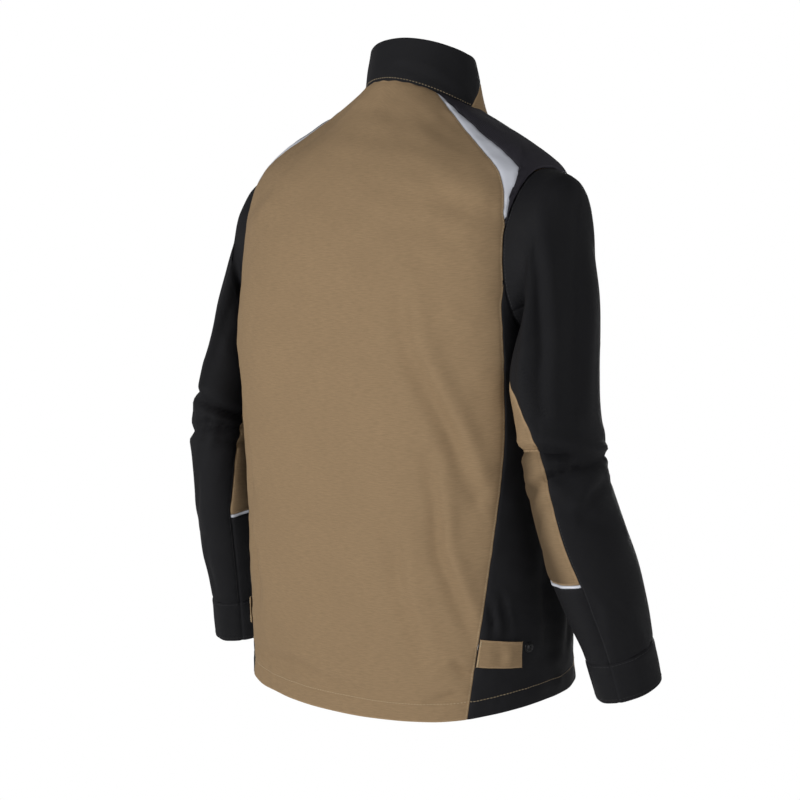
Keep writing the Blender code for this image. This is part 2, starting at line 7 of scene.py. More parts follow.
import bmesh
import bpy
import numpy as np
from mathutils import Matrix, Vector


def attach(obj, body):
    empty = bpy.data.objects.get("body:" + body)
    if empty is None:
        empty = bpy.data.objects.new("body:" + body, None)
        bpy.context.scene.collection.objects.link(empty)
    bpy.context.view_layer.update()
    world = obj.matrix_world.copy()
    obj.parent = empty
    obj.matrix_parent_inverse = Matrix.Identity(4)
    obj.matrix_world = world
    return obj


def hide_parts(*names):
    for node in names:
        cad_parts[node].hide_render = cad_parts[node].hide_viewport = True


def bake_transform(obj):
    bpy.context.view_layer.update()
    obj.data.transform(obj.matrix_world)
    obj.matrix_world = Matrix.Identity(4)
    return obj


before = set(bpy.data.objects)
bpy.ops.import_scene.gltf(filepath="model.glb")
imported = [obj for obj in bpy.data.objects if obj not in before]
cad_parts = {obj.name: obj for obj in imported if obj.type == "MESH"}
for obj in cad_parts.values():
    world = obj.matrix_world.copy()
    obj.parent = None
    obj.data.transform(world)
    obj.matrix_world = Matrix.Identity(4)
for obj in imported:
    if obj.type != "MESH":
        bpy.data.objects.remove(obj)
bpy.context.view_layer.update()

# ---------------------------------------------------------------- dimensions shared with the CAD
# torso rings: height share, half width, centre y, back depth, front depth,
# z at the back, z at the side, z at the front, squareness (1 is an ellipse)
TORSO_RINGS = np.array([
    (0.00, 0.210, 0.026, 0.140, 0.130, -0.735, -0.711, -0.694, 0.78),
    (0.20, 0.214, 0.026, 0.142, 0.126, -0.596, -0.586, -0.576, 0.76),
    (0.40, 0.217, 0.026, 0.145, 0.121, -0.450, -0.445, -0.440, 0.72),
    (0.60, 0.218, 0.028, 0.146, 0.118, -0.300, -0.300, -0.295, 0.66),
    (0.74, 0.210, 0.028, 0.134, 0.114, -0.180, -0.190, -0.195, 0.66),
    (0.85, 0.195, 0.022, 0.110, 0.105, -0.092, -0.108, -0.128, 0.76),
    (0.93, 0.132, 0.008, 0.086, 0.090, -0.036, -0.062, -0.095, 0.92),
    (1.00, 0.074, 0.000, 0.074, 0.081, 0.000, -0.031, -0.066, 1.00),
])
ARM_HEADING = np.radians(90)
ARM_BACK = np.radians(25)
ARM_FRONT = np.radians(17)
ARM_TOP = 0.850
ARM_BOTTOM = 0.605
ARM_MID = (ARM_TOP + ARM_BOTTOM) / 2
ARM_HALF = (ARM_TOP - ARM_BOTTOM) / 2
NOTCH = 0.7625          # height share where back, wedge and yoke meet the armhole
# sleeve rings: distance down the sleeve, tilt from upright, outward x, y, z,
# radius across the tilt, radius front to back
SLEEVE_RINGS = np.array([
    (0.020, 3, 0.228, 0.046, -0.205, 0.084, 0.054),
    (0.053, 12, 0.236, 0.050, -0.238, 0.064, 0.056),
    (0.098, 26, 0.243, 0.056, -0.282, 0.048, 0.060),
    (0.155, 50, 0.249, 0.064, -0.338, 0.038, 0.062),
    (0.217, 80, 0.258, 0.072, -0.400, 0.034, 0.061),
    (0.257, 88, 0.263, 0.074, -0.440, 0.038, 0.060),
    (0.303, 88, 0.267, 0.067, -0.485, 0.041, 0.058),
    (0.382, 84, 0.280, 0.044, -0.560, 0.044, 0.056),
    (0.462, 84, 0.291, 0.020, -0.635, 0.037, 0.048),
    (0.530, 84, 0.299, 0.004, -0.700, 0.034, 0.044),
])
CLOTH = 0.0022
COLLAR_HEIGHT = 0.050
COLLAR_SIDE_RISE = 0.006
COLLAR_THICK = 0.0036
ELBOW = 0.228           # distance down the sleeve of the seam under the elbow
INLAY_TOP = 0.125
UNDER_FULL = {"right": 0.245, "left": 0.340}   # distance down at which the under-sleeve is full
PIPING_AT = {"right": 0.367, "left": 0.348}
PIPING_HALF = 0.0020
CUFF_AT = 0.476
CUFF_END = 0.530
CUFF_THICK = 0.0036
UNDER_WIDE = np.radians(60)                                       # half width of the under-sleeve
UNDER_AT = {"right": np.radians(128), "left": np.radians(196)}    # where it faces on each arm
FRONT_EDGE = 0.012
ZIP_TOP_Z = -0.020
ZIP_BOTTOM_Z = -0.680
YOKE_CORNER = np.radians(308)
YOKE_FRONT = np.array([(103.55, 0.8092), (112.0, 0.875), (125.0, 1.0)])
COLLAR_SEAM = (84.0, 128.0)
COLLAR_END = np.pi - 0.255
SWING_AXIS = (0.062, -0.335)                 # y and z of the line the sleeve swings about
ELBOW_AXIS = (0.134, -0.428)                 # y and z of the line the forearm folds about
FLAP_HINGE_X = 0.030
FLAP_WIDE = 0.056
FLAP_TOP_Z = -0.078
FLAP_BOTTOM_Z = -0.676
FLAP_THICK = 0.0028
FLAP_PROUD = 0.0085
POCKET = (131.0, 165.0, 0.50, 0.665)         # chest pocket: headings and height shares
POCKET_FLAP_LOW = 0.610
HANGER_HALF = 0.030
HANGER_Y = 0.060
WELT = (131.0, 146.0, 0.130, 0.350)          # slanted hand pocket
TAB = (53.6, 74.5, 0.088, 0.132)             # waist tab
STUD_AT = (78.4, 0.110)
SIDES = {"right": 1, "left": -1}             # multiplies x; shapes are drawn for the right

# ---------------------------------------------------------------- dimensions of the looks
STEP = 0.0048            # spacing of the points across a panel
SLEEVE_STEP = 0.0042
COLLAR_ROOT = 0.05       # share of the collar's height sewn in below the neck edge
SEAM_DIP = 0.0011        # how far the cloth sinks into a seam
SEAM_REACH = 0.0024      # and how far from the seam
SEAM_TUCK = (0.0080, 0.0034)     # how far the sleeve head reaches under the shoulder, and how deep
COLLAR_DRAWN = (2.15, 0.55)      # heading where the collar's top edge is drawn in, and how wide
ELBOW_PATCH_PAINTED_SHADE = (0.0, 0.34, 0.88)   # shares across where the elbow patch's painted shade towards the body starts and ends; how dark it gets
THICK = 0.0018           # cloth thickness shown
HEM_TURN = 0.021         # height of the turned-up hem
STITCH = 0.0030          # length of a stitch, and of a stitch with its gap
STITCH_PITCH = 0.0040
THREAD = 0.00034         # radius of the thread
FINE_THREAD = 0.0003
EDGE_ROW = 0.0022        # distance of the usual row of stitching from its edge
TAB_DROOP = 0.016        # height share by which the waist tab's free end hangs lower
LAID = 0.0006            # gap between a patched-on piece and the cloth under it
WELT_WIDE = 8.0          # width of the hand pocket's welt, in degrees of heading
WEDGE_NECK = 51.0        # heading of the wedge's outer edge at the neck
WEDGE_TIP = 0.05         # share of the wedge's length hidden in the armhole seam
FLAP_SPLIT = 0.0004      # half the gap along the storm flap's hinge
FLAP_REST = 0.0010       # how far the flap's free edge stays off the front
PIPING_STEP = 0.0012
HEAD_FADE = 0.075        # distance down the sleeve over which it stops following the armhole
BACK_DEPTH = 2.1         # multiplies the depths in BACK_FOLDS
TOOTH_PITCH = 0.0030
TOOTH_SIZE = (0.0044, 0.0022, 0.0013)
STUD_PROFILE = ((0.0001, 0.0016), (0.0018, 0.0017), (0.0024, 0.0013), (0.0027, 0.0019), (0.0036, 0.0021),
                (0.0044, 0.0018), (0.0047, 0.0011), (0.0046, 0.0003), (0.0058, 0.0001), (0.0060, -0.0004),
                (0.0052, -0.0010), (0.0001, -0.0010))     # radius and height
SPLIT_Z = -0.372         # where the upper and lower parts of a sleeve meet, between the two folds
SWING_ZONE = (-0.299, -0.369)                # z where the swing's bend starts and ends
ELBOW_ZONE = (-0.374, -0.496)
ROUND_TORSO = 0.19       # metres of cloth for a radian round the torso
TALL_TORSO = 0.735
ROUND_SLEEVE = 0.055


# ---------------------------------------------------------------- curves and surfaces, as in the CAD
def glide(start, rise, leave, arrive, u):
    """Cubic from start to start plus rise, with its slopes at both ends, at share u."""
    return start + u * (leave + u * ((3 * rise - 2 * leave - arrive) + u * (leave + arrive - 2 * rise)))


def spline(knots, values, t):
    """Smooth curve through rows of values, read at t."""
    values = np.asarray(values, float)
    t = np.clip(t, knots[0], knots[-1])
    slopes = np.gradient(values, knots, axis=0)
    i = np.clip(np.searchsorted(knots, t, side="right") - 1, 0, len(knots) - 2)
    h = knots[i + 1] - knots[i]
    return glide(values[i], values[i + 1] - values[i], slopes[i] * h, slopes[i + 1] * h, (t - knots[i]) / h)


def power(value, exponent):
    return np.sign(value) * np.abs(value) ** exponent


def torso(phi, v, lift=0.0):
    """Point on the torso: phi turns from the back to the wearer's right, v climbs from hem to neck."""
    phi, v = np.broadcast_arrays(np.asarray(phi, float), np.asarray(v, float))
    half, mid, back, front, z_back, z_side, z_front, square = (
        spline(TORSO_RINGS[:, 0], column, v) for column in TORSO_RINGS[:, 1:].T)
    s, c = np.sin(phi), np.cos(phi)
    x = -(half + lift) * power(s, square)
    y = mid + (np.where(c > 0, back, front) + lift) * power(c, square)
    z = z_side + np.where(c > 0, z_back - z_side, z_front - z_side) * np.abs(c) ** 1.4
    return np.stack([x, y, z], -1)


def armhole_key(psi):
    """Heading and height share of the armhole edge; psi is 0 at the top and grows to the back."""
    c, s = np.cos(psi), np.sin(psi)
    phi = ARM_HEADING - np.where(s > 0, ARM_BACK, ARM_FRONT) * power(s, 0.9)
    return phi, ARM_MID + ARM_HALF * power(c, 0.9)


def sleeve_frames():
    """Centre, across direction and back direction of every sleeve ring."""
    centres = SLEEVE_RINGS[:, 2:5] * (-1, 1, 1)
    run = np.gradient(centres, axis=0)
    lean = np.arcsin(run[:, 1] / np.linalg.norm(run, axis=1))
    tilt = np.radians(SLEEVE_RINGS[:, 1])
    none = np.zeros_like(tilt)
    across = np.stack([-np.sin(tilt), none, np.cos(tilt)], -1)
    down = np.stack([-np.cos(tilt), none, -np.sin(tilt)], -1)
    back = np.stack([none, np.cos(lean), none], -1) - down * np.sin(lean)[:, None]
    return centres, across, back


def sleeve(psi, w):
    """Point on the right sleeve: psi turns from the top or outside to the back, w runs to the cuff."""
    psi, w = np.broadcast_arrays(np.asarray(psi, float), np.asarray(w, float))
    centres, across, back = sleeve_frames()
    rings = [torso(*armhole_key(psi))]
    for k, row in enumerate(SLEEVE_RINGS):
        rings.append(centres[k] + row[5] * np.cos(psi)[..., None] * across[k]
                     + row[6] * np.sin(psi)[..., None] * back[k])
    rings = np.stack(rings)
    knots = np.concatenate([[0.0], SLEEVE_RINGS[:, 0]])
    slopes = np.gradient(rings, knots, axis=0)
    i = np.clip(np.searchsorted(knots, w, side="right") - 1, 0, len(knots) - 2)
    h = (knots[i + 1] - knots[i])[..., None]
    u = (w - knots[i])[..., None] / h

    def pick(rows, index):
        return np.take_along_axis(rows, index[None, ..., None], 0)[0]

    start = pick(rings, i)
    return glide(start, pick(rings, i + 1) - start, pick(slopes, i) * h, pick(slopes, i + 1) * h, u)


def collar(phi, t):
    """Point on the stand collar: t is 0 at the neck seam and 1 at the top edge."""
    base = torso(phi, 1.0)
    lean = -0.003 * (1 + np.cos(phi)) + 0.006 * (1 - np.cos(phi))
    rise = COLLAR_HEIGHT + COLLAR_SIDE_RISE * np.sin(phi) ** 2 + 0.0045 * np.sin(phi - 0.35)
    top = base * (0.95, 0.95, 1.0)
    drawn = 1 - 0.13 * bump(phi - COLLAR_DRAWN[0], COLLAR_DRAWN[1])
    top[..., :2] *= drawn[..., None]
    top[..., 0] -= 0.003
    top[..., 1] += lean
    top[..., 2] += rise
    return base + (top - base) * np.asarray(t)[..., None]


def track(z):
    """y of the straight zip line down the centre front."""
    return -0.0790 + 0.0372 * z


def back_seam(v):
    """Heading of the seam between the back and the side or shoulder."""
    knots = np.array([0.0, 0.1375, 0.275, 0.3875, 0.475, 0.55, 0.65, 0.7625, 0.8375, 0.875, 0.93, 1.0])
    headings = np.radians([48.7, 53.3, 58.6, 63.0, 65.2, 65.2, 64.4, 64.2, 61.3, 56.4, 50.6, 48.7])
    return spline(knots, headings, v)


def front_seam(v):
    """Heading of the seam between the side and the front."""
    return np.radians(spline(np.array([0.0, 0.35, 0.7275]), np.array([119.0, 110.5, 107.0]), v))


def wedge_edge(t):
    """Outer edge of the reflective wedge from the neck (t 0) to the armhole's back (t 1)."""
    knots = np.array([0.0, 0.36, 0.63, 0.83, 1.0])
    phi = np.radians(np.interp(t, knots, [WEDGE_NECK, 60.7, 72.8, 66.6, 65.7]))
    v = np.interp(t, knots, [1.0, 0.9156, 0.850, 0.8031, NOTCH])
    return np.stack([phi, v], -1)


def smooth(value):
    value = np.clip(value, 0, 1)
    return value ** 2 * (3 - 2 * value)


def back_edge(v):
    """Edge of the back panel: the back seam, but the armhole's edge where the sleeve touches the back."""
    share = (np.clip(v, 0.62, 0.83) - ARM_MID) / ARM_HALF
    arm = ARM_HEADING - ARM_BACK * power(np.sin(np.arccos(power(share, 1 / 0.9))), 0.9)
    weight = smooth((v - 0.655) / 0.040) * smooth((0.785 - v) / 0.0225)
    return back_seam(v) + (arm - back_seam(v)) * weight


def wedge_inner(t):
    v = 1.0 + (NOTCH - 1.0) * t
    return np.stack([back_edge(v), v], -1)


def arm_arc(start, end):
    """Edge of the armhole between two turns, as heading and height share."""
    def at(t):
        return np.stack(armhole_key(start + (end - start) * t), -1)
    return at


def polyline(*corners):
    """Curve through corners given as heading in degrees and height share."""
    points = np.array([(np.radians(a), b) for a, b in corners])
    steps = np.concatenate([[0], np.cumsum(np.linalg.norm(np.diff(points, axis=0), axis=1))])

    def at(t):
        return np.stack([np.interp(t * steps[-1], steps, points[:, k]) for k in (0, 1)], -1)
    return at


def level(v, start, end):
    """Edge at one height share from one heading to another."""
    def at(t):
        return np.stack([start + (end - start) * t, np.full_like(t, v)], -1)
    return at


def upright(heading, low, high):
    """Edge that follows a seam from one height share to another."""
    def at(t):
        v = low + (high - low) * t
        return np.stack([heading(v), v], -1)
    return at


def inside(bottom, top, left, right):
    """Keys inside four edge curves, at shares s across and t up."""
    ends = np.array([0.0, 1.0])
    (b0, b1), (u0, u1) = bottom(ends), top(ends)

    def at(s, t):
        sg, tg = s[:, None], t[:, None]
        across = (1 - tg) * bottom(s) + tg * top(s)
        along = (1 - sg) * left(t) + sg * right(t)
        corners = (1 - sg) * (1 - tg) * b0 + sg * (1 - tg) * b1 + (1 - sg) * tg * u0 + sg * tg * u1
        return across + along - corners
    return at


def heading_at(x, v):
    """Heading on the front where the torso is x from its middle."""
    half = spline(TORSO_RINGS[:, 0], TORSO_RINGS[:, 1], v)
    square = spline(TORSO_RINGS[:, 0], TORSO_RINGS[:, 8], v)
    return np.pi - np.arcsin((x / half) ** (1 / square))


def centre_edge(v):
    """Heading of the front panel's edge beside the zip."""
    return heading_at(FRONT_EDGE, v)


def front_outer(v):
    """Heading of the front panel's outer edge: side seam, then armhole, then the yoke's front seam."""
    share = np.clip((v - ARM_MID) / ARM_HALF, 0.0, 1.0) ** (1 / 0.9)
    arm = ARM_HEADING + ARM_FRONT * (1 - share ** 2) ** 0.45
    yoke = np.radians(np.interp(v, YOKE_FRONT[:, 1], YOKE_FRONT[:, 0]))
    return np.where(v < ARM_MID, front_seam(v), np.where(v < YOKE_FRONT[0, 1], arm, yoke))


def under_half(w, side):
    """Half width of the brown under-sleeve: a point at the top that widens past the elbow."""
    return np.clip(UNDER_WIDE * (w - INLAY_TOP) / (UNDER_FULL[side] - INLAY_TOP), 0.0, UNDER_WIDE)


def split_level(psi):
    """Distance down the sleeve at which it crosses the height SPLIT_Z."""
    low, high = np.full_like(psi, 0.10), np.full_like(psi, 0.30)
    for _ in range(30):
        middle = (low + high) / 2
        above = sleeve(psi, middle)[..., 2] > SPLIT_Z
        low, high = np.where(above, middle, low), np.where(above, high, middle)
    return (low + high) / 2


# ---------------------------------------------------------------- folds
def bump(distance, width):
    return np.exp(-(distance / width) ** 2)


def fold(x, y, route, depth, width, ridge=0.5):
    """A trough along a route of points, with a softer ridge on its left as the route runs."""
    route = np.asarray(route, float)
    best = np.full(x.shape, 1e9)
    side = np.zeros(x.shape)
    along = np.zeros(x.shape)
    lengths = np.linalg.norm(np.diff(route, axis=0), axis=1)
    total = lengths.sum()
    done = 0.0
    for start, end, length in zip(route[:-1], route[1:], lengths):
        way = (end - start) / length
        dx, dy = x - start[0], y - start[1]
        at = np.clip(dx * way[0] + dy * way[1], 0, length)
        off_x, off_y = dx - at * way[0], dy - at * way[1]
        distance = np.hypot(off_x, off_y)
        nearer = distance < best
        best = np.where(nearer, distance, best)
        side = np.where(nearer, way[0] * off_y - way[1] * off_x, side)
        along = np.where(nearer, (done + at) / total, along)
        done += length
    signed = np.where(side < 0, -best, best)
    fade = np.sin(np.pi * np.clip(along * 0.84 + 0.08, 0, 1)) ** 0.7
    return fade * depth * (ridge * bump(signed - 1.7 * width, 1.2 * width) - bump(signed, width))


def ripple(x, y, seed, size, waves=7):
    """Gentle random swell about one high, with waves of about this size."""
    rng = np.random.default_rng(seed)
    total = np.zeros(np.shape(x))
    for _ in range(waves):
        angle, phase = rng.uniform(0, np.pi), rng.uniform(0, 2 * np.pi)
        rate = 2 * np.pi / (size * rng.uniform(0.7, 1.5))
        total = total + np.sin(rate * (x * np.cos(angle) + y * np.sin(angle)) + phase)
    return total / waves ** 0.5


# folds of the back and sides: route as heading in degrees and height share, depth, width, ridge
BACK_FOLDS = (
    (((18, 0.660), (20, 0.605), (29, 0.537), (38, 0.479), (45, 0.421), (51, 0.375)), 0.0042, 0.013, 0.7),
    (((30, 0.430), (33, 0.370), (35, 0.283), (43, 0.208), (50, 0.150)), 0.0034, 0.011, 0.7),
    (((15, 0.340), (17, 0.290), (20, 0.221), (25, 0.158), (30, 0.110)), 0.0026, 0.012, 0.5),
    (((-46, 0.060), (-30, 0.056), (-10, 0.062), (2, 0.040), (14, 0.036)), 0.0018, 0.009, 0.5),
    (((43, 0.098), (48, 0.083), (52, 0.080)), 0.0024, 0.006, 0.6),
    (((33, 0.034), (42, 0.044), (49, 0.030)), 0.0018, 0.006, 0.5),
    (((-52, 0.520), (-44, 0.440), (-40, 0.340)), 0.0026, 0.014, 0.5),
    (((-50, 0.300), (-40, 0.230), (-36, 0.140)), 0.0022, 0.013, 0.5),
    (((30, 0.800), (44, 0.788), (56, 0.780)), 0.0016, 0.012, 0.5),
    (((-56, 0.785), (-44, 0.790), (-30, 0.805)), 0.0016, 0.012, -0.5),
    (((87, 0.300), (88, 0.200), (90, 0.090)), 0.0030, 0.010, 0.8),
    (((58, 0.200), (60, 0.165), (60, 0.142)), 0.0018, 0.005, 0.6),
    (((64, 0.210), (67, 0.165), (68, 0.142)), 0.0014, 0.005, 0.5),
    (((99, 0.400), (98, 0.280), (102, 0.120)), 0.0028, 0.011, 0.6),
    (((-88, 0.340), (-86, 0.220), (-90, 0.080)), 0.0030, 0.011, 0.8),
    (((-102, 0.430), (-100, 0.280), (-97, 0.160)), 0.0026, 0.011, 0.6),
)
# where the cloth stands fuller: heading, height share, lift, width, height
FULLNESS = ((-66, 0.890, 0.0075, 0.036, 0.055), (-78, 0.925, 0.0095, 0.034, 0.050),
            (-64, 0.770, 0.0040, 0.030, 0.036),
            (92, 0.865, 0.0100, 0.070, 0.045), (97, 0.640, -0.0085, 0.045, 0.080),
            (-97, 0.640, -0.0060, 0.045, 0.080),
            (-34, 0.930, -0.0050, 0.036, 0.045),
            (40, 0.900, -0.0060, 0.045, 0.040), (50, 0.790, 0.0030, 0.030, 0.030))
# folds of the front, the same on both sides but for a little shift
FRONT_FOLDS = (
    (((112, 0.600), (128, 0.550), (150, 0.480)), 0.0020, 0.011, 0.6),
    (((114, 0.430), (124, 0.330), (126, 0.210)), 0.0026, 0.012, 0.6),
    (((150, 0.480), (156, 0.340), (160, 0.180)), 0.0020, 0.011, 0.5),
    (((118, 0.780), (128, 0.720), (146, 0.700)), 0.0018, 0.010, 0.5),
    (((120, 0.090), (140, 0.060), (160, 0.070)), 0.0016, 0.009, 0.5),
)


def torso_relief(phi, v):
    """How far the cloth of the torso stands off its smooth surface."""
    x, y = phi * ROUND_TORSO, v * TALL_TORSO
    total = 0.0011 * ripple(x, y, 3, 0.11) + 0.0004 * ripple(x, y, 8, 0.035)
    for route, depth, width, ridge in BACK_FOLDS:
        points = [(np.radians(a) * ROUND_TORSO, b * TALL_TORSO) for a, b in route]
        total = total + BACK_DEPTH * fold(x, y, points, depth, width, ridge)
    for mirror in (1, -1):
        for route, depth, width, ridge in FRONT_FOLDS:
            points = [(mirror * np.radians(a) * ROUND_TORSO, (b + 0.012 * mirror) * TALL_TORSO)
                      for a, b in route]
            total = total + fold(x, y, points, depth, width, mirror * ridge)
    for heading, height, lift, wide, tall in FULLNESS:
        near = bump((phi - np.radians(heading)) * ROUND_TORSO, wide)
        total = total + lift * near * bump((v - height) * TALL_TORSO, tall)
    calm = np.clip((1.0 - v) / 0.06, 0, 1) * np.clip((np.pi - np.abs(phi)) / 0.35, 0.15, 1)
    return total * calm


# folds of each sleeve: route as turn in degrees and distance down, depth, width, ridge
SLEEVE_FOLDS = {
    "right": (
        (((142, 0.232), (100, 0.229), (60, 0.230), (20, 0.234), (-62, 0.241)), 0.0080, 0.0050, 0.35),
        (((128, 0.272), (96, 0.264), (58, 0.251), (14, 0.243), (-40, 0.244)), 0.0078, 0.0052, 0.50),
        (((30, 0.290), (10, 0.276), (-20, 0.266)), 0.0030, 0.0070, 0.8),
        (((112, 0.300), (90, 0.286), (62, 0.276)), 0.0018, 0.0060, 0.6),
        (((70, 0.275), (20, 0.300), (-20, 0.330)), 0.0024, 0.0080, 0.7),
        (((108, 0.290), (130, 0.330), (150, 0.370)), 0.0022, 0.0060, 0.7),
        (((150, 0.285), (165, 0.320), (170, 0.350)), 0.0018, 0.0055, 0.6),
        (((66, 0.030), (54, 0.080), (50, 0.140), (64, 0.200)), 0.0046, 0.0100, 0.8),
        (((-10, 0.060), (-4, 0.120), (10, 0.190)), 0.0040, 0.0100, 0.7),
        (((100, 0.060), (96, 0.120), (104, 0.190)), 0.0034, 0.0090, 0.7),
        (((-60, 0.225), (-100, 0.240), (-150, 0.250)), 0.0040, 0.0070, 0.8),
        (((-50, 0.262), (-100, 0.268), (-140, 0.262)), 0.0030, 0.0060, 0.7),
        (((30, 0.400), (20, 0.440), (10, 0.470)), 0.0018, 0.0070, 0.6),
        (((80, 0.350), (60, 0.400), (70, 0.460)), 0.0018, 0.0070, 0.6),
        (((-80, 0.020), (-84, 0.060), (-70, 0.110)), 0.0026, 0.0080, 0.6),
    ),
    "left": (
        (((30, 0.204), (60, 0.208), (120, 0.216), (180, 0.228), (240, 0.234)), 0.0064, 0.0054, 0.5),
        (((20, 0.256), (60, 0.248), (112, 0.238), (170, 0.240), (230, 0.250)), 0.0056, 0.0054, 0.6),
        (((70, 0.262), (118, 0.252), (170, 0.262), (220, 0.270)), 0.0024, 0.0040, 0.6),
        (((90, 0.280), (76, 0.320), (60, 0.360)), 0.0022, 0.0070, 0.6),
        (((110, 0.060), (100, 0.120), (92, 0.190)), 0.0026, 0.0100, 0.6),
        (((70, 0.030), (60, 0.090), (64, 0.160)), 0.0022, 0.0090, 0.6),
        (((10, 0.060), (0, 0.130), (4, 0.200)), 0.0022, 0.0090, 0.6),
        (((-30, 0.214), (-80, 0.232), (-110, 0.236)), 0.0036, 0.0065, 0.8),
        (((0, 0.262), (-60, 0.266), (-110, 0.262)), 0.0028, 0.0060, 0.7),
        (((90, 0.380), (80, 0.420), (86, 0.465)), 0.0018, 0.0070, 0.6),
        (((30, 0.340), (16, 0.400), (20, 0.460)), 0.0018, 0.0070, 0.6),
        (((-80, 0.020), (-84, 0.060), (-70, 0.110)), 0.0026, 0.0080, 0.6),
    ),
}


def sleeve_relief(side):
    seed = {"right": 21, "left": 34}[side]

    def at(psi, w):
        turn = np.mod(psi + np.pi, 2 * np.pi) - np.pi
        total = np.zeros(np.shape(w))
        for route, depth, width, ridge in SLEEVE_FOLDS[side]:
            points = [(np.radians(a) * ROUND_SLEEVE, b) for a, b in route]
            parts = [fold((turn + lap) * ROUND_SLEEVE, w, points, depth, width, ridge)
                     for lap in (-2 * np.pi, 0.0, 2 * np.pi)]
            total = total + sum(parts)
        for heading, down, lift, wide, tall in SLEEVE_FULLNESS[side]:
            away = np.mod(turn - np.radians(heading) + np.pi, 2 * np.pi) - np.pi
            total = total + lift * bump(away * ROUND_SLEEVE, wide) * bump(w - down, tall)
        swell = 0.0009 * ripple(np.cos(turn) * ROUND_SLEEVE + np.sin(turn) * 0.031, w, seed, 0.07)
        elbow = 0.0008 * bump(w - 0.250, 0.030) * ripple(np.cos(turn) * 0.05, w, seed + 1, 0.022)
        return (total + swell + elbow) * np.clip(w / 0.02, 0, 1)
    return at


def collar_relief(phi, t):
    x, y = phi * 0.072, t * COLLAR_HEIGHT
    crease = [(np.radians(a) * 0.072, b * COLLAR_HEIGHT)
              for a, b in ((10, 0.36), (36, 0.30), (56, 0.24), (82, 0.06))]
    total = fold(x, y, crease, 0.0016, 0.0045, 0.9) + 0.0006 * ripple(x, y, 5, 0.045)
    return total * np.clip(t / 0.12, 0, 1)


# ---------------------------------------------------------------- meshes
def shares(length, step):
    """Shares from 0 to 1 in even steps of about this length, with closer rows beside both borders."""
    close = np.array([0.0, 0.0009, 0.0020, 0.0034]) / length
    if length < 0.02:
        close = close[:2]
    count = max(2, int(round(length * (1 - 2 * close[-1]) / step)))
    middle = np.linspace(close[-1], 1 - close[-1], count + 1)
    return np.concatenate([close[:-1], middle, 1 - close[-2::-1]])


def new_mesh(name, points, faces, look, uv=None, extra=None):
    """A named object from arrays of points and of four-cornered faces."""
    mesh = bpy.data.meshes.new(name)
    mesh.from_pydata(points.tolist(), [], faces.tolist())
    if uv is not None:
        corner = np.zeros(len(mesh.loops), np.int32)
        mesh.loops.foreach_get("vertex_index", corner)
        mesh.uv_layers.new(name="cloth").data.foreach_set("uv", uv[corner].astype(np.float32).ravel())
    for key, values in (extra or {}).items():
        mesh.attributes.new(key, "FLOAT", "POINT").data.foreach_set("value", values.astype(np.float32))
    mesh.shade_smooth()
    mesh.set_sharp_from_angle(angle=np.radians(58))
    return mesh_object(name, mesh, look)


def mesh_object(name, mesh, look):
    made = bpy.data.objects.new(name, mesh)
    bpy.context.scene.collection.objects.link(made)
    mesh.materials.append(look)
    return made


def bmesh_object(name, shape, look):
    """A named object from a finished bmesh, which is freed."""
    mesh = bpy.data.meshes.new(name)
    shape.to_mesh(mesh)
    shape.free()
    return mesh_object(name, mesh, look)


def running(points, axis):
    """Distance run along one axis of a grid of points."""
    steps = np.linalg.norm(np.diff(points, axis=axis), axis=-1)
    return np.concatenate([np.zeros_like(np.take(steps, [0], axis)), np.cumsum(steps, axis=axis)], axis)


def normals_of(points):
    across = np.gradient(points, axis=0)
    along = np.gradient(points, axis=1)
    normal = np.cross(across, along)
    length = np.linalg.norm(normal, axis=-1, keepdims=True)
    return normal / np.maximum(length, 1e-12)


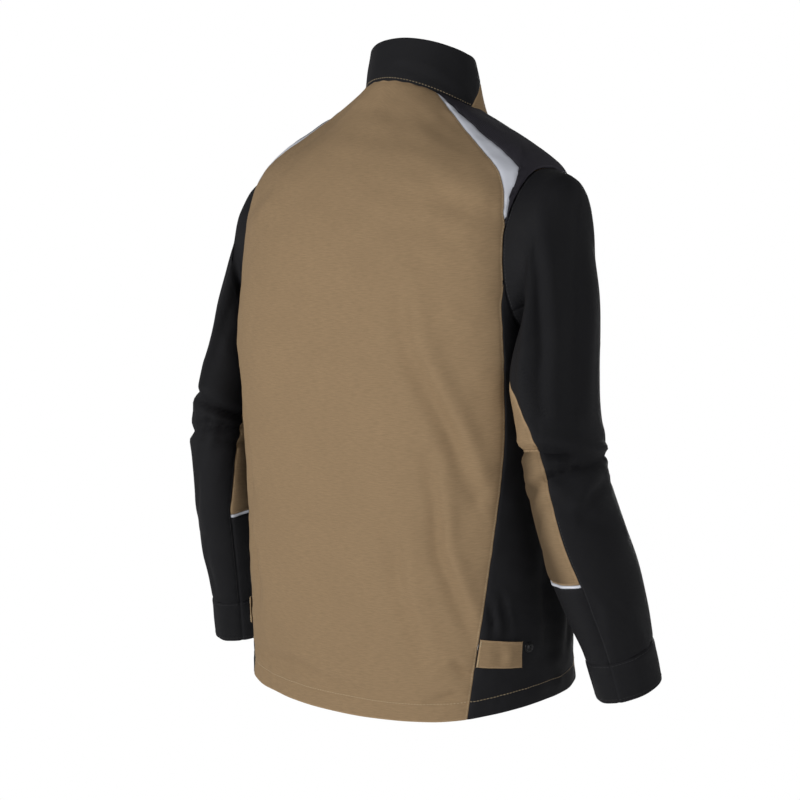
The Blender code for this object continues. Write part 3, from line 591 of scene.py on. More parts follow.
def cloth(name, surface, width, height, look, mirror=1, relief=None, thick=THICK, step=STEP,
          edges="ssss", pucker=0.0003, tucked=None, painted_shade=None):
    """A panel of cloth. surface(s, t) gives keys and points. Each letter of edges says what the left,
    right, low and high border is: s a seam, f a free folded edge, o an open edge that carries on.
    tucked says how far the low border reaches under its neighbour, and how deep. The last argument gives a
    painted shade: from which share across the panel it darkens the colour, to which, and how much."""
    s, t = shares(width, step), shares(height, step)
    grid_s, grid_t = (g.ravel() for g in np.meshgrid(s, t, indexing="ij"))
    keys, points = surface(grid_s, grid_t)
    keys = keys.reshape(len(s), len(t), 2)
    points = points.reshape(len(s), len(t), 3)
    normal = normals_of(points)
    run_s, run_t = running(points, 0), running(points, 1)
    borders = {"left": run_s, "right": run_s[-1:] - run_s, "low": run_t, "high": run_t[:, -1:] - run_t}
    rise = relief(keys[..., 0], keys[..., 1]) if relief else np.zeros(run_s.shape)
    shell = np.full(run_s.shape, thick)
    seam = np.full(run_s.shape, 0.02)
    for (border, away), kind in zip(borders.items(), edges):
        if kind == "s":
            along = run_t if border in ("left", "right") else run_s
            rise = rise - SEAM_DIP * bump(away, SEAM_REACH)
            rise = rise + pucker * bump(away, 0.007) * ripple(along, away * 0.3, 11, 0.013)
            seam = np.minimum(seam, away)
        if kind == "f":
            tuck = np.clip(1 - away / 0.0012, 0, 1) ** 2 * 0.42 * thick
            rise = rise - tuck
            shell = shell - 2 * tuck
            seam = np.minimum(seam, away + 0.001)
    outer = points + normal * rise[..., None]
    outward = normals_of(outer)
    if tucked:
        reach, sink = tucked
        way = points[:, 0] - points[:, 1]
        way /= np.linalg.norm(way, axis=-1, keepdims=True)
        outer[:, 0] += way * reach - outward[:, 0] * sink
    inner = outer - outward * shell[..., None]
    across, along = len(s), len(t)
    number = np.arange(across * along).reshape(across, along)
    quads = np.stack([number[:-1, :-1], number[1:, :-1], number[1:, 1:], number[:-1, 1:]], -1).reshape(-1, 4)
    below = number + across * along
    back = np.stack([below[:-1, :-1], below[:-1, 1:], below[1:, 1:], below[1:, :-1]], -1).reshape(-1, 4)
    rims = {"left": (number[0, ::-1], below[0, ::-1]), "right": (number[-1], below[-1]),
            "low": (number[:, 0], below[:, 0]), "high": (number[::-1, -1], below[::-1, -1])}
    faces = [quads, back]
    for border in rims:
        top, under = rims[border]
        faces.append(np.stack([top[:-1], under[:-1], under[1:], top[1:]], -1))
    faces = np.concatenate(faces)
    both = np.concatenate([outer.reshape(-1, 3), inner.reshape(-1, 3)]) * (mirror, 1, 1)
    if mirror < 0:
        faces = faces[:, ::-1]
    flat = np.stack([run_s - run_s[-1:] / 2, run_t], -1).reshape(-1, 2)
    lining = np.repeat([0.0, 1.0], across * along)
    painted_shade_share = np.zeros(2 * across * along)
    # painted shade: darkens part of the panel's colour across its width, standing for shade towards the body
    if painted_shade:
        painted_shade_share = np.tile(painted_shade[2] * smooth((grid_s - painted_shade[0]) / (painted_shade[1] - painted_shade[0])), 2)
    made = new_mesh(name, both, faces, look, np.concatenate([flat, flat + 0.37]),
                    {"seam": np.tile(seam.ravel(), 2), "lining": lining, "painted_shade": painted_shade_share})
    area = np.linalg.norm(np.cross(np.diff(points, axis=0)[:, :-1], np.diff(points, axis=1)[:-1]), axis=-1)
    made["cut_area"] = float(area.sum())
    grid = {"outer": outer * (mirror, 1, 1), "normal": normals_of(outer) * (mirror, 1, 1),
            "borders": borders, "name": name}
    return made, grid


def row_beside(grid, border, distance, start=0.0, end=1.0):
    """Points and normals of a line at one distance inside a border, between two shares of its length."""
    away = grid["borders"][border]
    outer, normal = grid["outer"], grid["normal"]
    if border in ("low", "high"):
        lines = range(outer.shape[0])

        def pick(k):
            return away[k], outer[k], normal[k]
    else:
        lines = range(outer.shape[1])

        def pick(k):
            return away[:, k], outer[:, k], normal[:, k]
    points, ups = [], []
    for k in lines:
        distances, line, up = pick(k)
        order = np.argsort(distances)
        reach = distances[order]
        if reach[-1] < distance:
            continue
        points.append([np.interp(distance, reach, line[order, axis]) for axis in range(3)])
        ups.append([np.interp(distance, reach, up[order, axis]) for axis in range(3)])
    points, ups = np.array(points), np.array(ups)
    first, last = int(start * (len(points) - 1)), int(np.ceil(end * (len(points) - 1))) + 1
    return points[first:last], ups[first:last]


def ring_faces(rings, segments):
    """Faces of a tube from its rings of points."""
    first = np.arange(rings - 1)[:, None] * segments + np.arange(segments)
    second = np.arange(rings - 1)[:, None] * segments + (np.arange(segments) + 1) % segments
    return np.stack([first, second, second + segments, first + segments], -1).reshape(-1, 4)


def stitches(name, rows, look, pitch=STITCH_PITCH, length=STITCH, radius=THREAD, lift=0.0):
    """Thread lying on the cloth in short stitches along rows of points, each with its normals."""
    around = np.linspace(0, 2 * np.pi, 6, endpoint=False)
    along = np.array([0.0, 0.12, 0.5, 0.88, 1.0])
    swell = np.array([0.35, 0.85, 1.0, 0.85, 0.35])
    sink = np.array([-0.9, 0.0, 0.45, 0.0, -0.9]) * radius
    points, faces, count = [], [], 0
    for line, up in rows:
        if len(line) < 2:
            continue
        run = np.concatenate([[0], np.cumsum(np.linalg.norm(np.diff(line, axis=0), axis=1))])
        for begin in np.arange(0.0005, run[-1] - length, pitch):
            at = begin + along * length
            middle = np.stack([np.interp(at, run, line[:, k]) for k in range(3)], -1)
            out = np.stack([np.interp(at, run, up[:, k]) for k in range(3)], -1)
            out /= np.linalg.norm(out, axis=1, keepdims=True)
            way = np.gradient(middle, axis=0)
            side = np.cross(way, out)
            side /= np.maximum(np.linalg.norm(side, axis=1, keepdims=True), 1e-12)
            middle = middle + out * (sink + lift)[:, None]
            ring = (middle[:, None] + (np.cos(around)[None, :, None] * side[:, None]
                    + np.sin(around)[None, :, None] * out[:, None]) * (swell * radius)[:, None, None])
            points.append(ring.reshape(-1, 3))
            faces.append(count + ring_faces(len(along), 6))
            count += 6 * len(along)
    return new_mesh(name, np.concatenate(points), np.concatenate(faces), look)


def turned(name, profile, centre, outward, look, segments=28):
    """A turned piece: a profile of radius and height spun about the outward direction."""
    around = np.linspace(0, 2 * np.pi, segments, endpoint=False)
    radius, height = np.array(profile).T
    points = np.stack([radius[:, None] * np.cos(around), radius[:, None] * np.sin(around),
                       np.repeat(height[:, None], segments, 1)], -1).reshape(-1, 3)
    turn = np.array(Vector((0, 0, 1)).rotation_difference(Vector(outward)).to_matrix())
    points = points @ turn.T + np.array(centre)
    return new_mesh(name, points, ring_faces(len(radius), segments), look)


# ---------------------------------------------------------------- materials
class Look:
    """A material under construction: adds nodes and wires them up."""

    def __init__(self, name, colour, roughness):
        self.material = bpy.data.materials.new(name)
        self.material.use_nodes = True
        self.tree = self.material.node_tree
        self.shader = self.tree.nodes["Principled BSDF"]
        self.shader.inputs["Base Color"].default_value = (*colour, 1)
        self.shader.inputs["Roughness"].default_value = roughness
        self.material.diffuse_color = (*colour, 1)

    def link(self, value, socket):
        if isinstance(value, bpy.types.NodeSocket):
            self.tree.links.new(value, socket)
        else:
            socket.default_value = value

    def node(self, kind, settings=None, **inputs):
        made = self.tree.nodes.new(kind)
        for key, value in (settings or {}).items():
            setattr(made, key, value)
        for key, value in inputs.items():
            self.link(value, made.inputs[key.replace("_", " ")])
        return made

    def math(self, operation, a, b=0.0):
        made = self.node("ShaderNodeMath", {"operation": operation})
        self.link(a, made.inputs[0])
        self.link(b, made.inputs[1])
        return made.outputs[0]

    def mix(self, share, a, b, blend="MIX"):
        made = self.node("ShaderNodeMix", {"data_type": "RGBA", "blend_type": blend})
        self.link(share, made.inputs[0])
        self.link(a, made.inputs[6])
        self.link(b, made.inputs[7])
        return made.outputs[2]

    def attribute(self, name):
        return self.node("ShaderNodeAttribute", {"attribute_name": name}).outputs["Fac"]

    def on_cloth(self):
        return self.node("ShaderNodeUVMap", {"uv_map": "cloth"}).outputs[0]

    def in_space(self):
        return self.node("ShaderNodeTexCoord").outputs["Object"]

    def stretched(self, vector, scale, turn=0.0):
        made = self.node("ShaderNodeMapping", Vector=vector, Scale=scale, Rotation=(0, 0, turn))
        return made.outputs[0]

    def noise(self, vector, scale, detail=3.0, rough=0.55):
        made = self.node("ShaderNodeTexNoise", Vector=vector, Scale=scale, Detail=detail, Roughness=rough)
        return made.outputs["Fac"]

    def span(self, value, low, high, to_low=0.0, to_high=1.0):
        made = self.node("ShaderNodeMapRange", Value=value)
        for key, number in (("From Min", low), ("From Max", high), ("To Min", to_low), ("To Max", to_high)):
            made.inputs[key].default_value = number
        return made.outputs[0]

    def finish(self, colour, roughness, height, distance, strength=1.0):
        self.link(colour, self.shader.inputs["Base Color"])
        self.link(roughness, self.shader.inputs["Roughness"])
        made = self.node("ShaderNodeBump", Strength=strength, Distance=distance, Height=height)
        self.tree.links.new(made.outputs[0], self.shader.inputs["Normal"])
        return self.material


def shade(colour, factor):
    return (*(min(1.0, c * factor) for c in colour), 1)


def twill(name, colour, pitch=0.0016, contrast=0.13, sheen=0.15, wear_and_highlight=1.25, dots=0.0, gloss=0.12,
          rough=0.82):
    """Woven cloth: slanted twill lines crossed by yarns, slubs, faint stains, seams a little worn and lit by
    a painted highlight along their ridges with a painted shade in their dips, and a painted shade wherever
    the panel's attribute asks for it.
    """
    look = Look(name, colour, 0.85)
    place = look.on_cloth()
    split = look.node("ShaderNodeSeparateXYZ", Vector=place)
    u, v = split.outputs[0], split.outputs[1]
    turn = 2 * np.pi / pitch

    def wave(operation, share, rate):
        """Sine of the two directions, added or subtracted, at a rate."""
        return look.math("SINE", look.math("MULTIPLY", look.math(operation, u, share), rate))

    slant = wave("ADD", look.math("MULTIPLY", v, 1.9), turn)
    yarn = wave("SUBTRACT", look.math("MULTIPLY", v, 0.5), turn * 1.7)
    weave = look.math("ADD", look.math("MULTIPLY", slant, 0.7), look.math("MULTIPLY", yarn, 0.3))
    slub = look.noise(look.stretched(place, (90, 900, 1), np.radians(9)), 1.0, 4.0, 0.6)
    speckle = look.noise(place, 900.0, 2.0, 0.7)
    cloud = look.noise(place, 11.0, 4.0, 0.6)
    light, dark = shade(colour, 1 + contrast), shade(colour, 1 - contrast)
    base = look.mix(look.span(slub, 0.34, 0.66), dark, light)
    base = look.mix(look.span(weave, -1, 1, 0.0, 0.35), base, shade(colour, 1 - 1.4 * contrast))
    base = look.mix(look.span(cloud, 0.3, 0.7, 0.0, 0.30), base, shade(colour, 0.82))
    base = look.mix(look.span(speckle, 0.62, 0.80, 0.0, 0.25), base, shade(colour, 1.5))
    # painted shade from the panel's attribute: darkens the colour where shade falls, towards the body on the
    # elbow patch
    painted_shade = look.attribute("painted_shade")
    base = look.mix(painted_shade, base, shade(colour, 0.25))
    # seam ridges: lighter for a little wear, and partly a painted highlight where the ridge catches the light
    seam = look.attribute("seam")
    patchy = look.noise(place, 120.0, 2.0)
    ridge = look.math("MULTIPLY", look.span(seam, 0.0014, 0.0036, 1.0, 0.0),
                      look.span(patchy, 0.35, 0.60, 0.45, 1.0))
    base = look.mix(look.math("MULTIPLY", ridge, 0.7), base, shade(colour, wear_and_highlight))
    # painted shade in the seam's dip
    base = look.mix(look.span(seam, 0.0001, 0.0009, 0.6, 0.0), base, shade(colour, 0.35))
    lining = look.attribute("lining")
    base = look.mix(look.math("MULTIPLY", lining, 0.5), base, shade(colour, 0.8))
    height = look.math("ADD", look.math("MULTIPLY", weave, 0.5), look.math("MULTIPLY", slub, 0.8))
    height = look.math("ADD", height, look.math("MULTIPLY", cloud, 0.6))
    if dots:
        rate = 2 * np.pi / dots / 1.41
        grid = look.math("MULTIPLY", wave("ADD", v, rate), wave("SUBTRACT", v, rate))
        dot = look.span(grid, 0.35, 0.75)
        base = look.mix(look.math("MULTIPLY", dot, 0.55), base, shade(colour, 2.6))
        height = look.math("ADD", height, look.math("MULTIPLY", dot, 1.2))
    look.shader.inputs["Sheen Weight"].default_value = sheen
    look.shader.inputs["Sheen Roughness"].default_value = 0.45
    look.shader.inputs["Sheen Tint"].default_value = shade(colour, 2.0)
    look.shader.inputs["Specular IOR Level"].default_value = gloss
    return look.finish(base, look.span(slub, 0.3, 0.7, rough - 0.06, rough + 0.08), height, 0.00022, 0.8)


def reflective(name, colour):
    """Satin silver tape: tiny glass beads in a fine honeycomb, with creases and scuffs, and a painted shade
    in its seam dips.
    """
    look = Look(name, colour, 0.4)
    place = look.on_cloth()
    beads = look.node("ShaderNodeTexVoronoi", {"feature": "F1"}, Vector=place, Scale=1400.0)
    scuff = look.noise(place, 70.0, 5.0, 0.65)
    cloud = look.noise(place, 18.0, 3.0)
    base = look.mix(look.span(cloud, 0.35, 0.65), shade(colour, 0.93), shade(colour, 1.08))
    base = look.mix(look.span(scuff, 0.60, 0.74, 0.0, 0.35), base, shade(colour, 0.72))
    seam = look.attribute("seam")
    # painted shade in the seam's dip
    base = look.mix(look.span(seam, 0.0002, 0.0012, 0.6, 0.0), base, shade(colour, 0.35))
    look.shader.inputs["Metallic"].default_value = 0.10
    height = look.math("ADD", beads.outputs["Distance"], look.math("MULTIPLY", scuff, 0.8))
    return look.finish(base, look.span(scuff, 0.3, 0.7, 0.34, 0.55), height, 0.00012, 0.5)


def thread(name, colour):
    """Twisted sewing thread."""
    look = Look(name, colour, 0.6)
    place = look.in_space()
    twist = look.noise(place, 2600.0, 2.0)
    tone = look.noise(place, 160.0, 2.0)
    base = look.mix(look.span(twist, 0.35, 0.65), shade(colour, 0.72), shade(colour, 1.2))
    base = look.mix(look.span(tone, 0.4, 0.65, 0.0, 0.4), base, shade(colour, 0.7))
    return look.finish(base, look.span(twist, 0.3, 0.7, 0.5, 0.75), twist, 0.00010)


def metal(name, colour, rough, metallic=1.0):
    """Dull metal with fine scratches and tarnish, or the same wear on black enamel."""
    look = Look(name, colour, rough)
    place = look.in_space()
    scratch = look.noise(look.stretched(place, (2500, 2500, 120)), 1.0, 3.0)
    tarnish = look.noise(place, 260.0, 4.0, 0.6)
    base = look.mix(look.span(tarnish, 0.40, 0.70, 0.0, 0.6), shade(colour, 1.1), shade(colour, 0.55))
    look.shader.inputs["Metallic"].default_value = metallic
    height = look.math("ADD", scratch, tarnish)
    return look.finish(base, look.span(tarnish, 0.3, 0.7, rough - 0.08, rough + 0.18), height, 0.00006, 0.6)


def floor_look():
    look = Look("pale_floor", (0.88, 0.88, 0.88), 0.8)
    place = look.in_space()
    grain = look.noise(place, 6.0, 3.0)
    base = look.mix(grain, (0.86, 0.86, 0.86, 1), (0.90, 0.90, 0.90, 1))
    return look.finish(base, 0.8, grain, 0.0005, 0.1)


BROWN = (0.275, 0.188, 0.106)
BLACK = (0.0066, 0.0066, 0.0082)
NAVY = (0.029, 0.027, 0.034)
SILVER = (0.58, 0.60, 0.66)
LOOKS = {
    "brown": twill("brown_twill", BROWN, sheen=0.08, wear_and_highlight=1.45),
    "black": twill("black_twill", BLACK, contrast=0.26, sheen=0.02, wear_and_highlight=1.35, gloss=0.20, rough=0.70),
    "yoke": twill("dark_yoke_twill", NAVY, contrast=0.15, sheen=0.04, wear_and_highlight=1.5, dots=0.0036, rough=0.6),
    "silver": reflective("reflective_tape", SILVER),
    "beige_thread": thread("beige_thread", (0.40, 0.31, 0.19)),
    "brown_thread": thread("brown_thread", (0.30, 0.21, 0.12)),
    "black_thread": thread("black_thread", (0.014, 0.014, 0.015)),
    "metal": metal("zip_metal", (0.30, 0.30, 0.31), 0.36),
    "enamel": metal("stud_enamel", (0.010, 0.010, 0.011), 0.30, 0.20),
}


# ---------------------------------------------------------------- placing pieces
def wear(made, body, look, *nodes, flat=None, hangs_on=()):
    """Ride a body, then settle."""
    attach(made, body)
    settle(nodes)


def bend(made, pair, zone, axis, look, *nodes, flat=None, hangs_on=()):
    """The same for cloth that crosses a joint, but with its transform baked in instead of riding a body. zone
    and axis are not used.
    """
    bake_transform(made)
    settle(nodes)


def settle(nodes=()):
    """Stand for CAD nodes by hiding them."""
    if nodes:
        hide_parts(*nodes)


def panel(name, surface, size, look, flat, hangs_on, body="jacket_body", **how):
    """A panel of cloth that rides a body and stands for the CAD node of its name; gives its grid."""
    made, grid = cloth(name + "_cloth", surface, *size, LOOKS[look], **how)
    wear(made, body, look, name, flat=flat, hangs_on=hangs_on)
    return grid


def sewn(name, look, rows, body="jacket_body", **how):
    """Stitching that rides a body."""
    wear(stitches(name, rows, LOOKS[look], **how), body, look)


def beside(grid, distance, *borders):
    """Lines at one distance inside several borders."""
    return [row_beside(grid, border, distance) for border in borders]


def on_torso(keys, lift=0.0):
    """Surface function of a torso panel from its keys."""
    def at(s, t):
        found = keys(s, t)
        return found, torso(found[..., 0], found[..., 1], lift)
    return at


def hem_relief(phi, v):
    """Torso folds, with the double layer of the turned hem, its stitched groove and its puckers."""
    high = v * TALL_TORSO
    turn = np.clip((HEM_TURN - high) / 0.0015 + 0.5, 0, 1)
    groove = 0.0006 * bump(high - HEM_TURN, 0.0012)
    gather = 0.0005 * bump(high - HEM_TURN, 0.012) * ripple(phi * ROUND_TORSO, high * 0.4, 17, 0.022)
    return torso_relief(phi, v) + 0.0007 * turn - groove + gather


def mirrored(relief, mirror):
    """Relief of a panel drawn on the right and worn on either side."""
    return lambda phi, v: relief(mirror * phi, v)


# ---------------------------------------------------------------- torso
def build_back():
    neck, hem = back_seam(np.array(1.0)), back_seam(np.array(0.0))
    keys = inside(level(0.0, -hem, hem), level(1.0, -neck, neck),
                  upright(lambda v: -back_edge(v), 0.0, 1.0), upright(back_edge, 0.0, 1.0))
    grid = panel("back_panel", on_torso(keys), (0.42, 0.75), "brown", (0.47, 0.76),
                 ("collar_back", "shoulder_yoke_right", "shoulder_yoke_left"), relief=hem_relief,
                 edges="ssfs")
    sewn("back_hem_stitching", "beige_thread", beside(grid, HEM_TURN, "low"))
    sewn("back_edge_stitching", "beige_thread", beside(grid, 0.0016, "left", "right"), radius=0.00028)


def build_side(side, mirror):
    start, end = np.radians(103), np.radians(268)
    low, high = back_seam(np.array(0.0)), front_seam(np.array(0.0))
    top_back, top_front = armhole_key(np.array(start))[1], armhole_key(np.array(end))[1]
    keys = inside(level(0.0, low, high), arm_arc(start, end), upright(back_edge, 0.0, top_back),
                  upright(front_seam, 0.0, top_front))
    grid = panel("side_panel_" + side, on_torso(keys), (0.19, 0.44), "black", (0.20, 0.46),
                 ("back_panel", "front_panel_" + side), mirror=mirror, relief=mirrored(hem_relief, mirror),
                 edges="ssfs")
    sewn("side_hem_stitching_" + side, "beige_thread", beside(grid, HEM_TURN, "low"))


def build_front(side, mirror):
    def keys(s, t):
        start, end = front_outer(t), centre_edge(t)
        return np.stack([start + (end - start) * s, t], -1)

    grid = panel("front_panel_" + side, on_torso(keys), (0.20, 0.65), "brown", (0.26, 0.67),
                 ("shoulder_yoke_" + side, "side_panel_" + side), mirror=mirror,
                 relief=mirrored(hem_relief, mirror), edges="sffs")
    rows = [row_beside(grid, "low", HEM_TURN, 0.0, 0.94), row_beside(grid, "left", 0.0018, 0.0, 0.72),
            row_beside(grid, "right", 0.0030)]
    sewn("front_stitching_" + side, "beige_thread", rows, radius=FINE_THREAD)


def build_shoulder(side, mirror):
    notch = np.arccos(((NOTCH - ARM_MID) / ARM_HALF) ** (1 / 0.9))
    front = polyline(*YOKE_FRONT[::-1])
    outer = np.radians(WEDGE_NECK)
    keys = inside(arm_arc(notch, YOKE_CORNER - 2 * np.pi),
                  level(1.0, outer, np.radians(YOKE_FRONT[-1, 0])), lambda t: wedge_edge(1 - t),
                  lambda t: front(1 - t))
    shape = dict(mirror=mirror, relief=mirrored(torso_relief, mirror))
    grid = panel("shoulder_yoke_" + side, on_torso(keys), (0.17, 0.20), "yoke", (0.17, 0.15),
                 ("collar_back",), step=0.0040, **shape)
    sewn("yoke_stitching_" + side, "black_thread", beside(grid, EDGE_ROW, "left", "right"),
         radius=FINE_THREAD)
    reach = 1 - WEDGE_TIP
    keys = inside(lambda s: wedge_inner(reach) * (1 - s)[..., None] + wedge_edge(reach) * s[..., None],
                  level(1.0, back_seam(np.array(1.0)), outer),
                  lambda t: wedge_inner((1 - t) * reach), lambda t: wedge_edge((1 - t) * reach))
    panel("reflective_wedge_" + side, on_torso(keys), (0.028, 0.20), "silver", (0.030, 0.21),
          ("back_panel", "shoulder_yoke_" + side), step=0.0036, pucker=0.0002, **shape)


def collar_piece(back):
    """Surface of the collar's back piece, or of its front piece on the right."""
    low, high = np.radians(COLLAR_SEAM)

    def at(s, t):
        seam = low + (high - low) * t
        phi = -seam + 2 * seam * s if back else seam + (COLLAR_END - seam) * s
        return np.stack([phi, t], -1), collar(phi, t * (1 + COLLAR_ROOT) - COLLAR_ROOT)
    return at


def build_collar():
    shape = dict(relief=collar_relief, thick=COLLAR_THICK, step=0.0032, pucker=0.0002)
    grid = panel("collar_back", collar_piece(True), (0.24, 0.050), "black", (0.27, 0.056), ("back_panel",),
                 edges="sssf", **shape)
    sewn("collar_seam_stitching", "beige_thread", beside(grid, 0.0048, "low"), pitch=0.0038, length=0.0020,
         radius=0.00036, lift=0.0002)
    for side, mirror in SIDES.items():
        grid = panel("collar_front_" + side, collar_piece(False), (0.075, 0.050), "brown", (0.095, 0.056),
                     ("front_panel_" + side,), mirror=mirror, edges="sfsf", **shape)
        rows = beside(grid, EDGE_ROW, "low") + beside(grid, 0.0040, "high", "right")
        sewn("collar_front_stitching_" + side, "beige_thread", rows, radius=FINE_THREAD)


# ---------------------------------------------------------------- sleeves
# how each sleeve hangs off its smooth tube: distance down, outward and upward shift
SLEEVE_HANG = {
    "right": np.array([(0.0, 0.0, 0.0), (0.06, 0.001, 0.003), (0.15, -0.004, 0.0), (0.24, 0.001, 0.0),
                       (0.32, 0.007, 0.0), (0.42, 0.007, 0.003), (0.53, 0.005, 0.012)]),
    "left": np.array([(0.0, 0.0, 0.0), (0.10, -0.002, 0.0), (0.24, 0.001, 0.0), (0.36, 0.001, 0.0),
                      (0.46, 0.007, -0.003), (0.53, 0.010, -0.008)]),
}
# where each sleeve stands fuller: turn, distance down, lift, width, height
SLEEVE_FULLNESS = {
    "right": ((122, 0.150, 0.0070, 0.045, 0.060), (122, 0.300, -0.0030, 0.040, 0.050),
              (-4, 0.026, 0.0052, 0.060, 0.022)),
    "left": ((120, 0.120, 0.0020, 0.045, 0.060), (45, 0.034, -0.0045, 0.050, 0.030)),
}


def armhole_shift(psi, relief):
    """How far the edge of the armhole stands off the smooth torso, as a vector."""
    phi, v = armhole_key(psi)
    step = 1e-3
    normal = np.cross(torso(phi + step, v) - torso(phi - step, v),
                      torso(phi, v + step) - torso(phi, v - step))
    normal /= np.linalg.norm(normal, axis=-1, keepdims=True)
    return normal * relief(phi, v)[..., None]


def hung_sleeve(side, torso_side):
    """Sleeve surface as it hangs: its head follows the armhole, the rest drifts from the smooth tube."""
    down, *shifts = SLEEVE_HANG[side].T

    def at(psi, w):
        point = sleeve(psi, w) + armhole_shift(psi, torso_side) * smooth(1 - w / HEAD_FADE)[..., None]
        out, up = (spline(down, shift, w) for shift in shifts)
        return point + np.stack([-out, np.zeros_like(out), up], -1)
    return at


def build_sleeve(side, mirror):
    middle, piping = UNDER_AT[side], PIPING_AT[side]
    relief = sleeve_relief(side)
    surface_of = hung_sleeve(side, mirrored(torso_relief, mirror))

    def tube(first, last, top, bottom):
        """Sleeve surface between two lengthwise and two crosswise edges, which may follow each other."""
        def at(s, t):
            w = np.full_like(s, 0.3)
            for _ in range(8):
                start, end = first(w), last(w)
                psi = start + (end - start) * s
                w = top(psi) + (bottom(psi) - top(psi)) * t
            return np.stack([psi, w], -1), surface_of(psi, w)
        return at

    def fixed(value):
        return lambda other: np.full_like(other, value)

    def under_start(w):
        return middle - under_half(w, side)

    def under_end(w):
        return middle + under_half(w, side)

    def round_end(w):
        return under_start(w) + 2 * np.pi

    swing = (("jacket_body", "sleeve_" + side), SWING_ZONE, SWING_AXIS)
    elbow = (("sleeve_" + side, "forearm_" + side), ELBOW_ZONE, ELBOW_AXIS)
    above, below, mouth = fixed(piping - PIPING_HALF), fixed(piping + PIPING_HALF), fixed(CUFF_AT)
    # name, first edge, last edge, top, bottom, width, length, look, joint, border kinds, nodes, flat cut
    pieces = (
        ("sleeve_head_", under_end, round_end, fixed(0.0), split_level, 0.42, 0.20, "black", swing, "ssso",
         ("sleeve_cap_", "underarm_fold_"), (0.46, 0.24)),
        ("sleeve_body_", under_end, round_end, split_level, mouth, 0.30, 0.29, "black", elbow, "ssos",
         ("upper_sleeve_", "elbow_fold_", "forearm_sleeve_"), (0.27, 0.30)),
        ("sleeve_point_", under_start, under_end, fixed(INLAY_TOP), split_level, 0.03, 0.04, "brown", swing,
         "ssoo", (), (0.024, 0.046)),
        ("sleeve_inlay_", under_start, under_end, split_level, fixed(ELBOW), 0.07, 0.036, "brown", elbow,
         "ssos", ("sleeve_inlay_",), (0.085, 0.042)),
        ("elbow_patch_", under_start, under_end, fixed(ELBOW), above, 0.11, 0.136, "brown", elbow, "ssss",
         ("elbow_patch_",), (0.120, 0.138)),
        ("sleeve_piping_", under_start, under_end, above, below, 0.10, 0.004, "silver", elbow, "ssss",
         ("sleeve_piping_",), None),
        ("forearm_under_", under_start, under_end, below, mouth, 0.10, 0.110, "black", elbow, "ssss",
         ("forearm_under_",), (0.110, 0.124)),
    )
    # the elbow patch carries a painted shade that darkens it towards the body
    special = {"sleeve_head_": {"tucked": SEAM_TUCK}, "elbow_patch_": {"painted_shade": ELBOW_PATCH_PAINTED_SHADE},
               "sleeve_piping_": {"relief": piped(relief, piping), "step": PIPING_STEP}}
    grids = {}
    for name, first, last, top, bottom, width, length, look, joint, edges, nodes, flat in pieces:
        how = {"relief": relief, "step": SLEEVE_STEP, **special.get(name, {})}
        made, grids[name] = cloth(name + side + "_cloth", tube(first, last, top, bottom), width, length,
                                  LOOKS[look], mirror, edges=edges, **how)
        bend(made, *joint, look, *(node + side for node in nodes), flat=flat,
             hangs_on=["shoulder_yoke_" + side] if flat else ())
    around = (fixed(middle - UNDER_WIDE), fixed(middle - UNDER_WIDE + 2 * np.pi))
    cuff = panel("cuff_" + side, tube(*around, mouth, fixed(CUFF_END)), (0.24, 0.054), "black", (0.27, 0.056),
                 ("sleeve_body_" + side,), "forearm_" + side, mirror=mirror, relief=cuff_relief(relief),
                 thick=CUFF_THICK * 0.8, step=SLEEVE_STEP, edges="sssf")
    sewn("cuff_stitching_" + side, "black_thread", beside(cuff, 0.0024, "low") + beside(cuff, 0.0050, "high"),
         "forearm_" + side, radius=FINE_THREAD)
    body, patch, inlay = grids["sleeve_body_"], grids["elbow_patch_"], grids["sleeve_inlay_"]
    rows = beside(patch, 0.0020, "left", "right", "low", "high") + beside(inlay, 0.0020, "left", "right")
    bend(stitches("patch_stitching_" + side, rows, LOOKS["brown_thread"], radius=FINE_THREAD), *elbow,
         "brown_thread")
    rows = [row_beside(body, border, EDGE_ROW, 0.35) for border in ("left", "right")]
    bend(stitches("sleeve_stitching_" + side, rows, LOOKS["black_thread"], radius=FINE_THREAD), *elbow,
         "black_thread")
    sewn("armhole_stitching_" + side, "black_thread", beside(grids["sleeve_head_"], 0.0024, "low"),
         radius=FINE_THREAD)


def piped(relief, middle):
    """A round cord of piping that stands a little proud."""
    def at(psi, w):
        across = np.clip((w - middle) / PIPING_HALF, -1, 1)
        return relief(psi, w) + 0.0016 * np.sqrt(1 - across ** 2)
    return at


def cuff_relief(relief):
    """The sleeve's folds die out over the cuff, which stands a little proud and ripples gently."""
    def at(psi, w):
        down = w - CUFF_AT
        ease = 0.0006 * ripple(np.cos(psi) * 0.04, np.sin(psi) * 0.04, 41, 0.03)
        return relief(psi, w) * bump(down, 0.03) + ease + 0.0008 * np.clip(down / 0.004, 0, 1)
    return at


# ---------------------------------------------------------------- front fastening
def strip_relief(seed, height=0.0006):
    return lambda x, z: height * ripple(x, z, seed, 0.06)


def flap_front(z):
    """y of the storm flap's outer face."""
    return track(z) - FLAP_PROUD - FLAP_THICK


def flap_height(t):
    return FLAP_BOTTOM_Z + (FLAP_TOP_Z - FLAP_BOTTOM_Z) * t


def storm_flap(s, t):
    """Face of the flap: s runs from its free edge, which lies on the front, to its hinge."""
    x = FLAP_HINGE_X - FLAP_SPLIT - FLAP_WIDE + FLAP_WIDE * s
    z = flap_height(t)
    drop = (FLAP_PROUD - FLAP_REST) * smooth((0.27 - s) / 0.25)
    y = flap_front(z) - 0.0006 * np.sin(np.pi * s) + drop
    return np.stack([x, z], -1), np.stack([x, y, z], -1)


def flap_root(s, t):
    """Folded strip that carries the flap: down from its face to the front panel."""
    x = FLAP_HINGE_X + FLAP_SPLIT + 0.0120 * s
    z = flap_height(t)
    fall = (FLAP_PROUD + FLAP_THICK - 0.0035) * np.clip((s - 0.45) / 0.55, 0, 1) ** 1.6
    return np.stack([x, z], -1), np.stack([x, flap_front(z) + fall, z], -1)


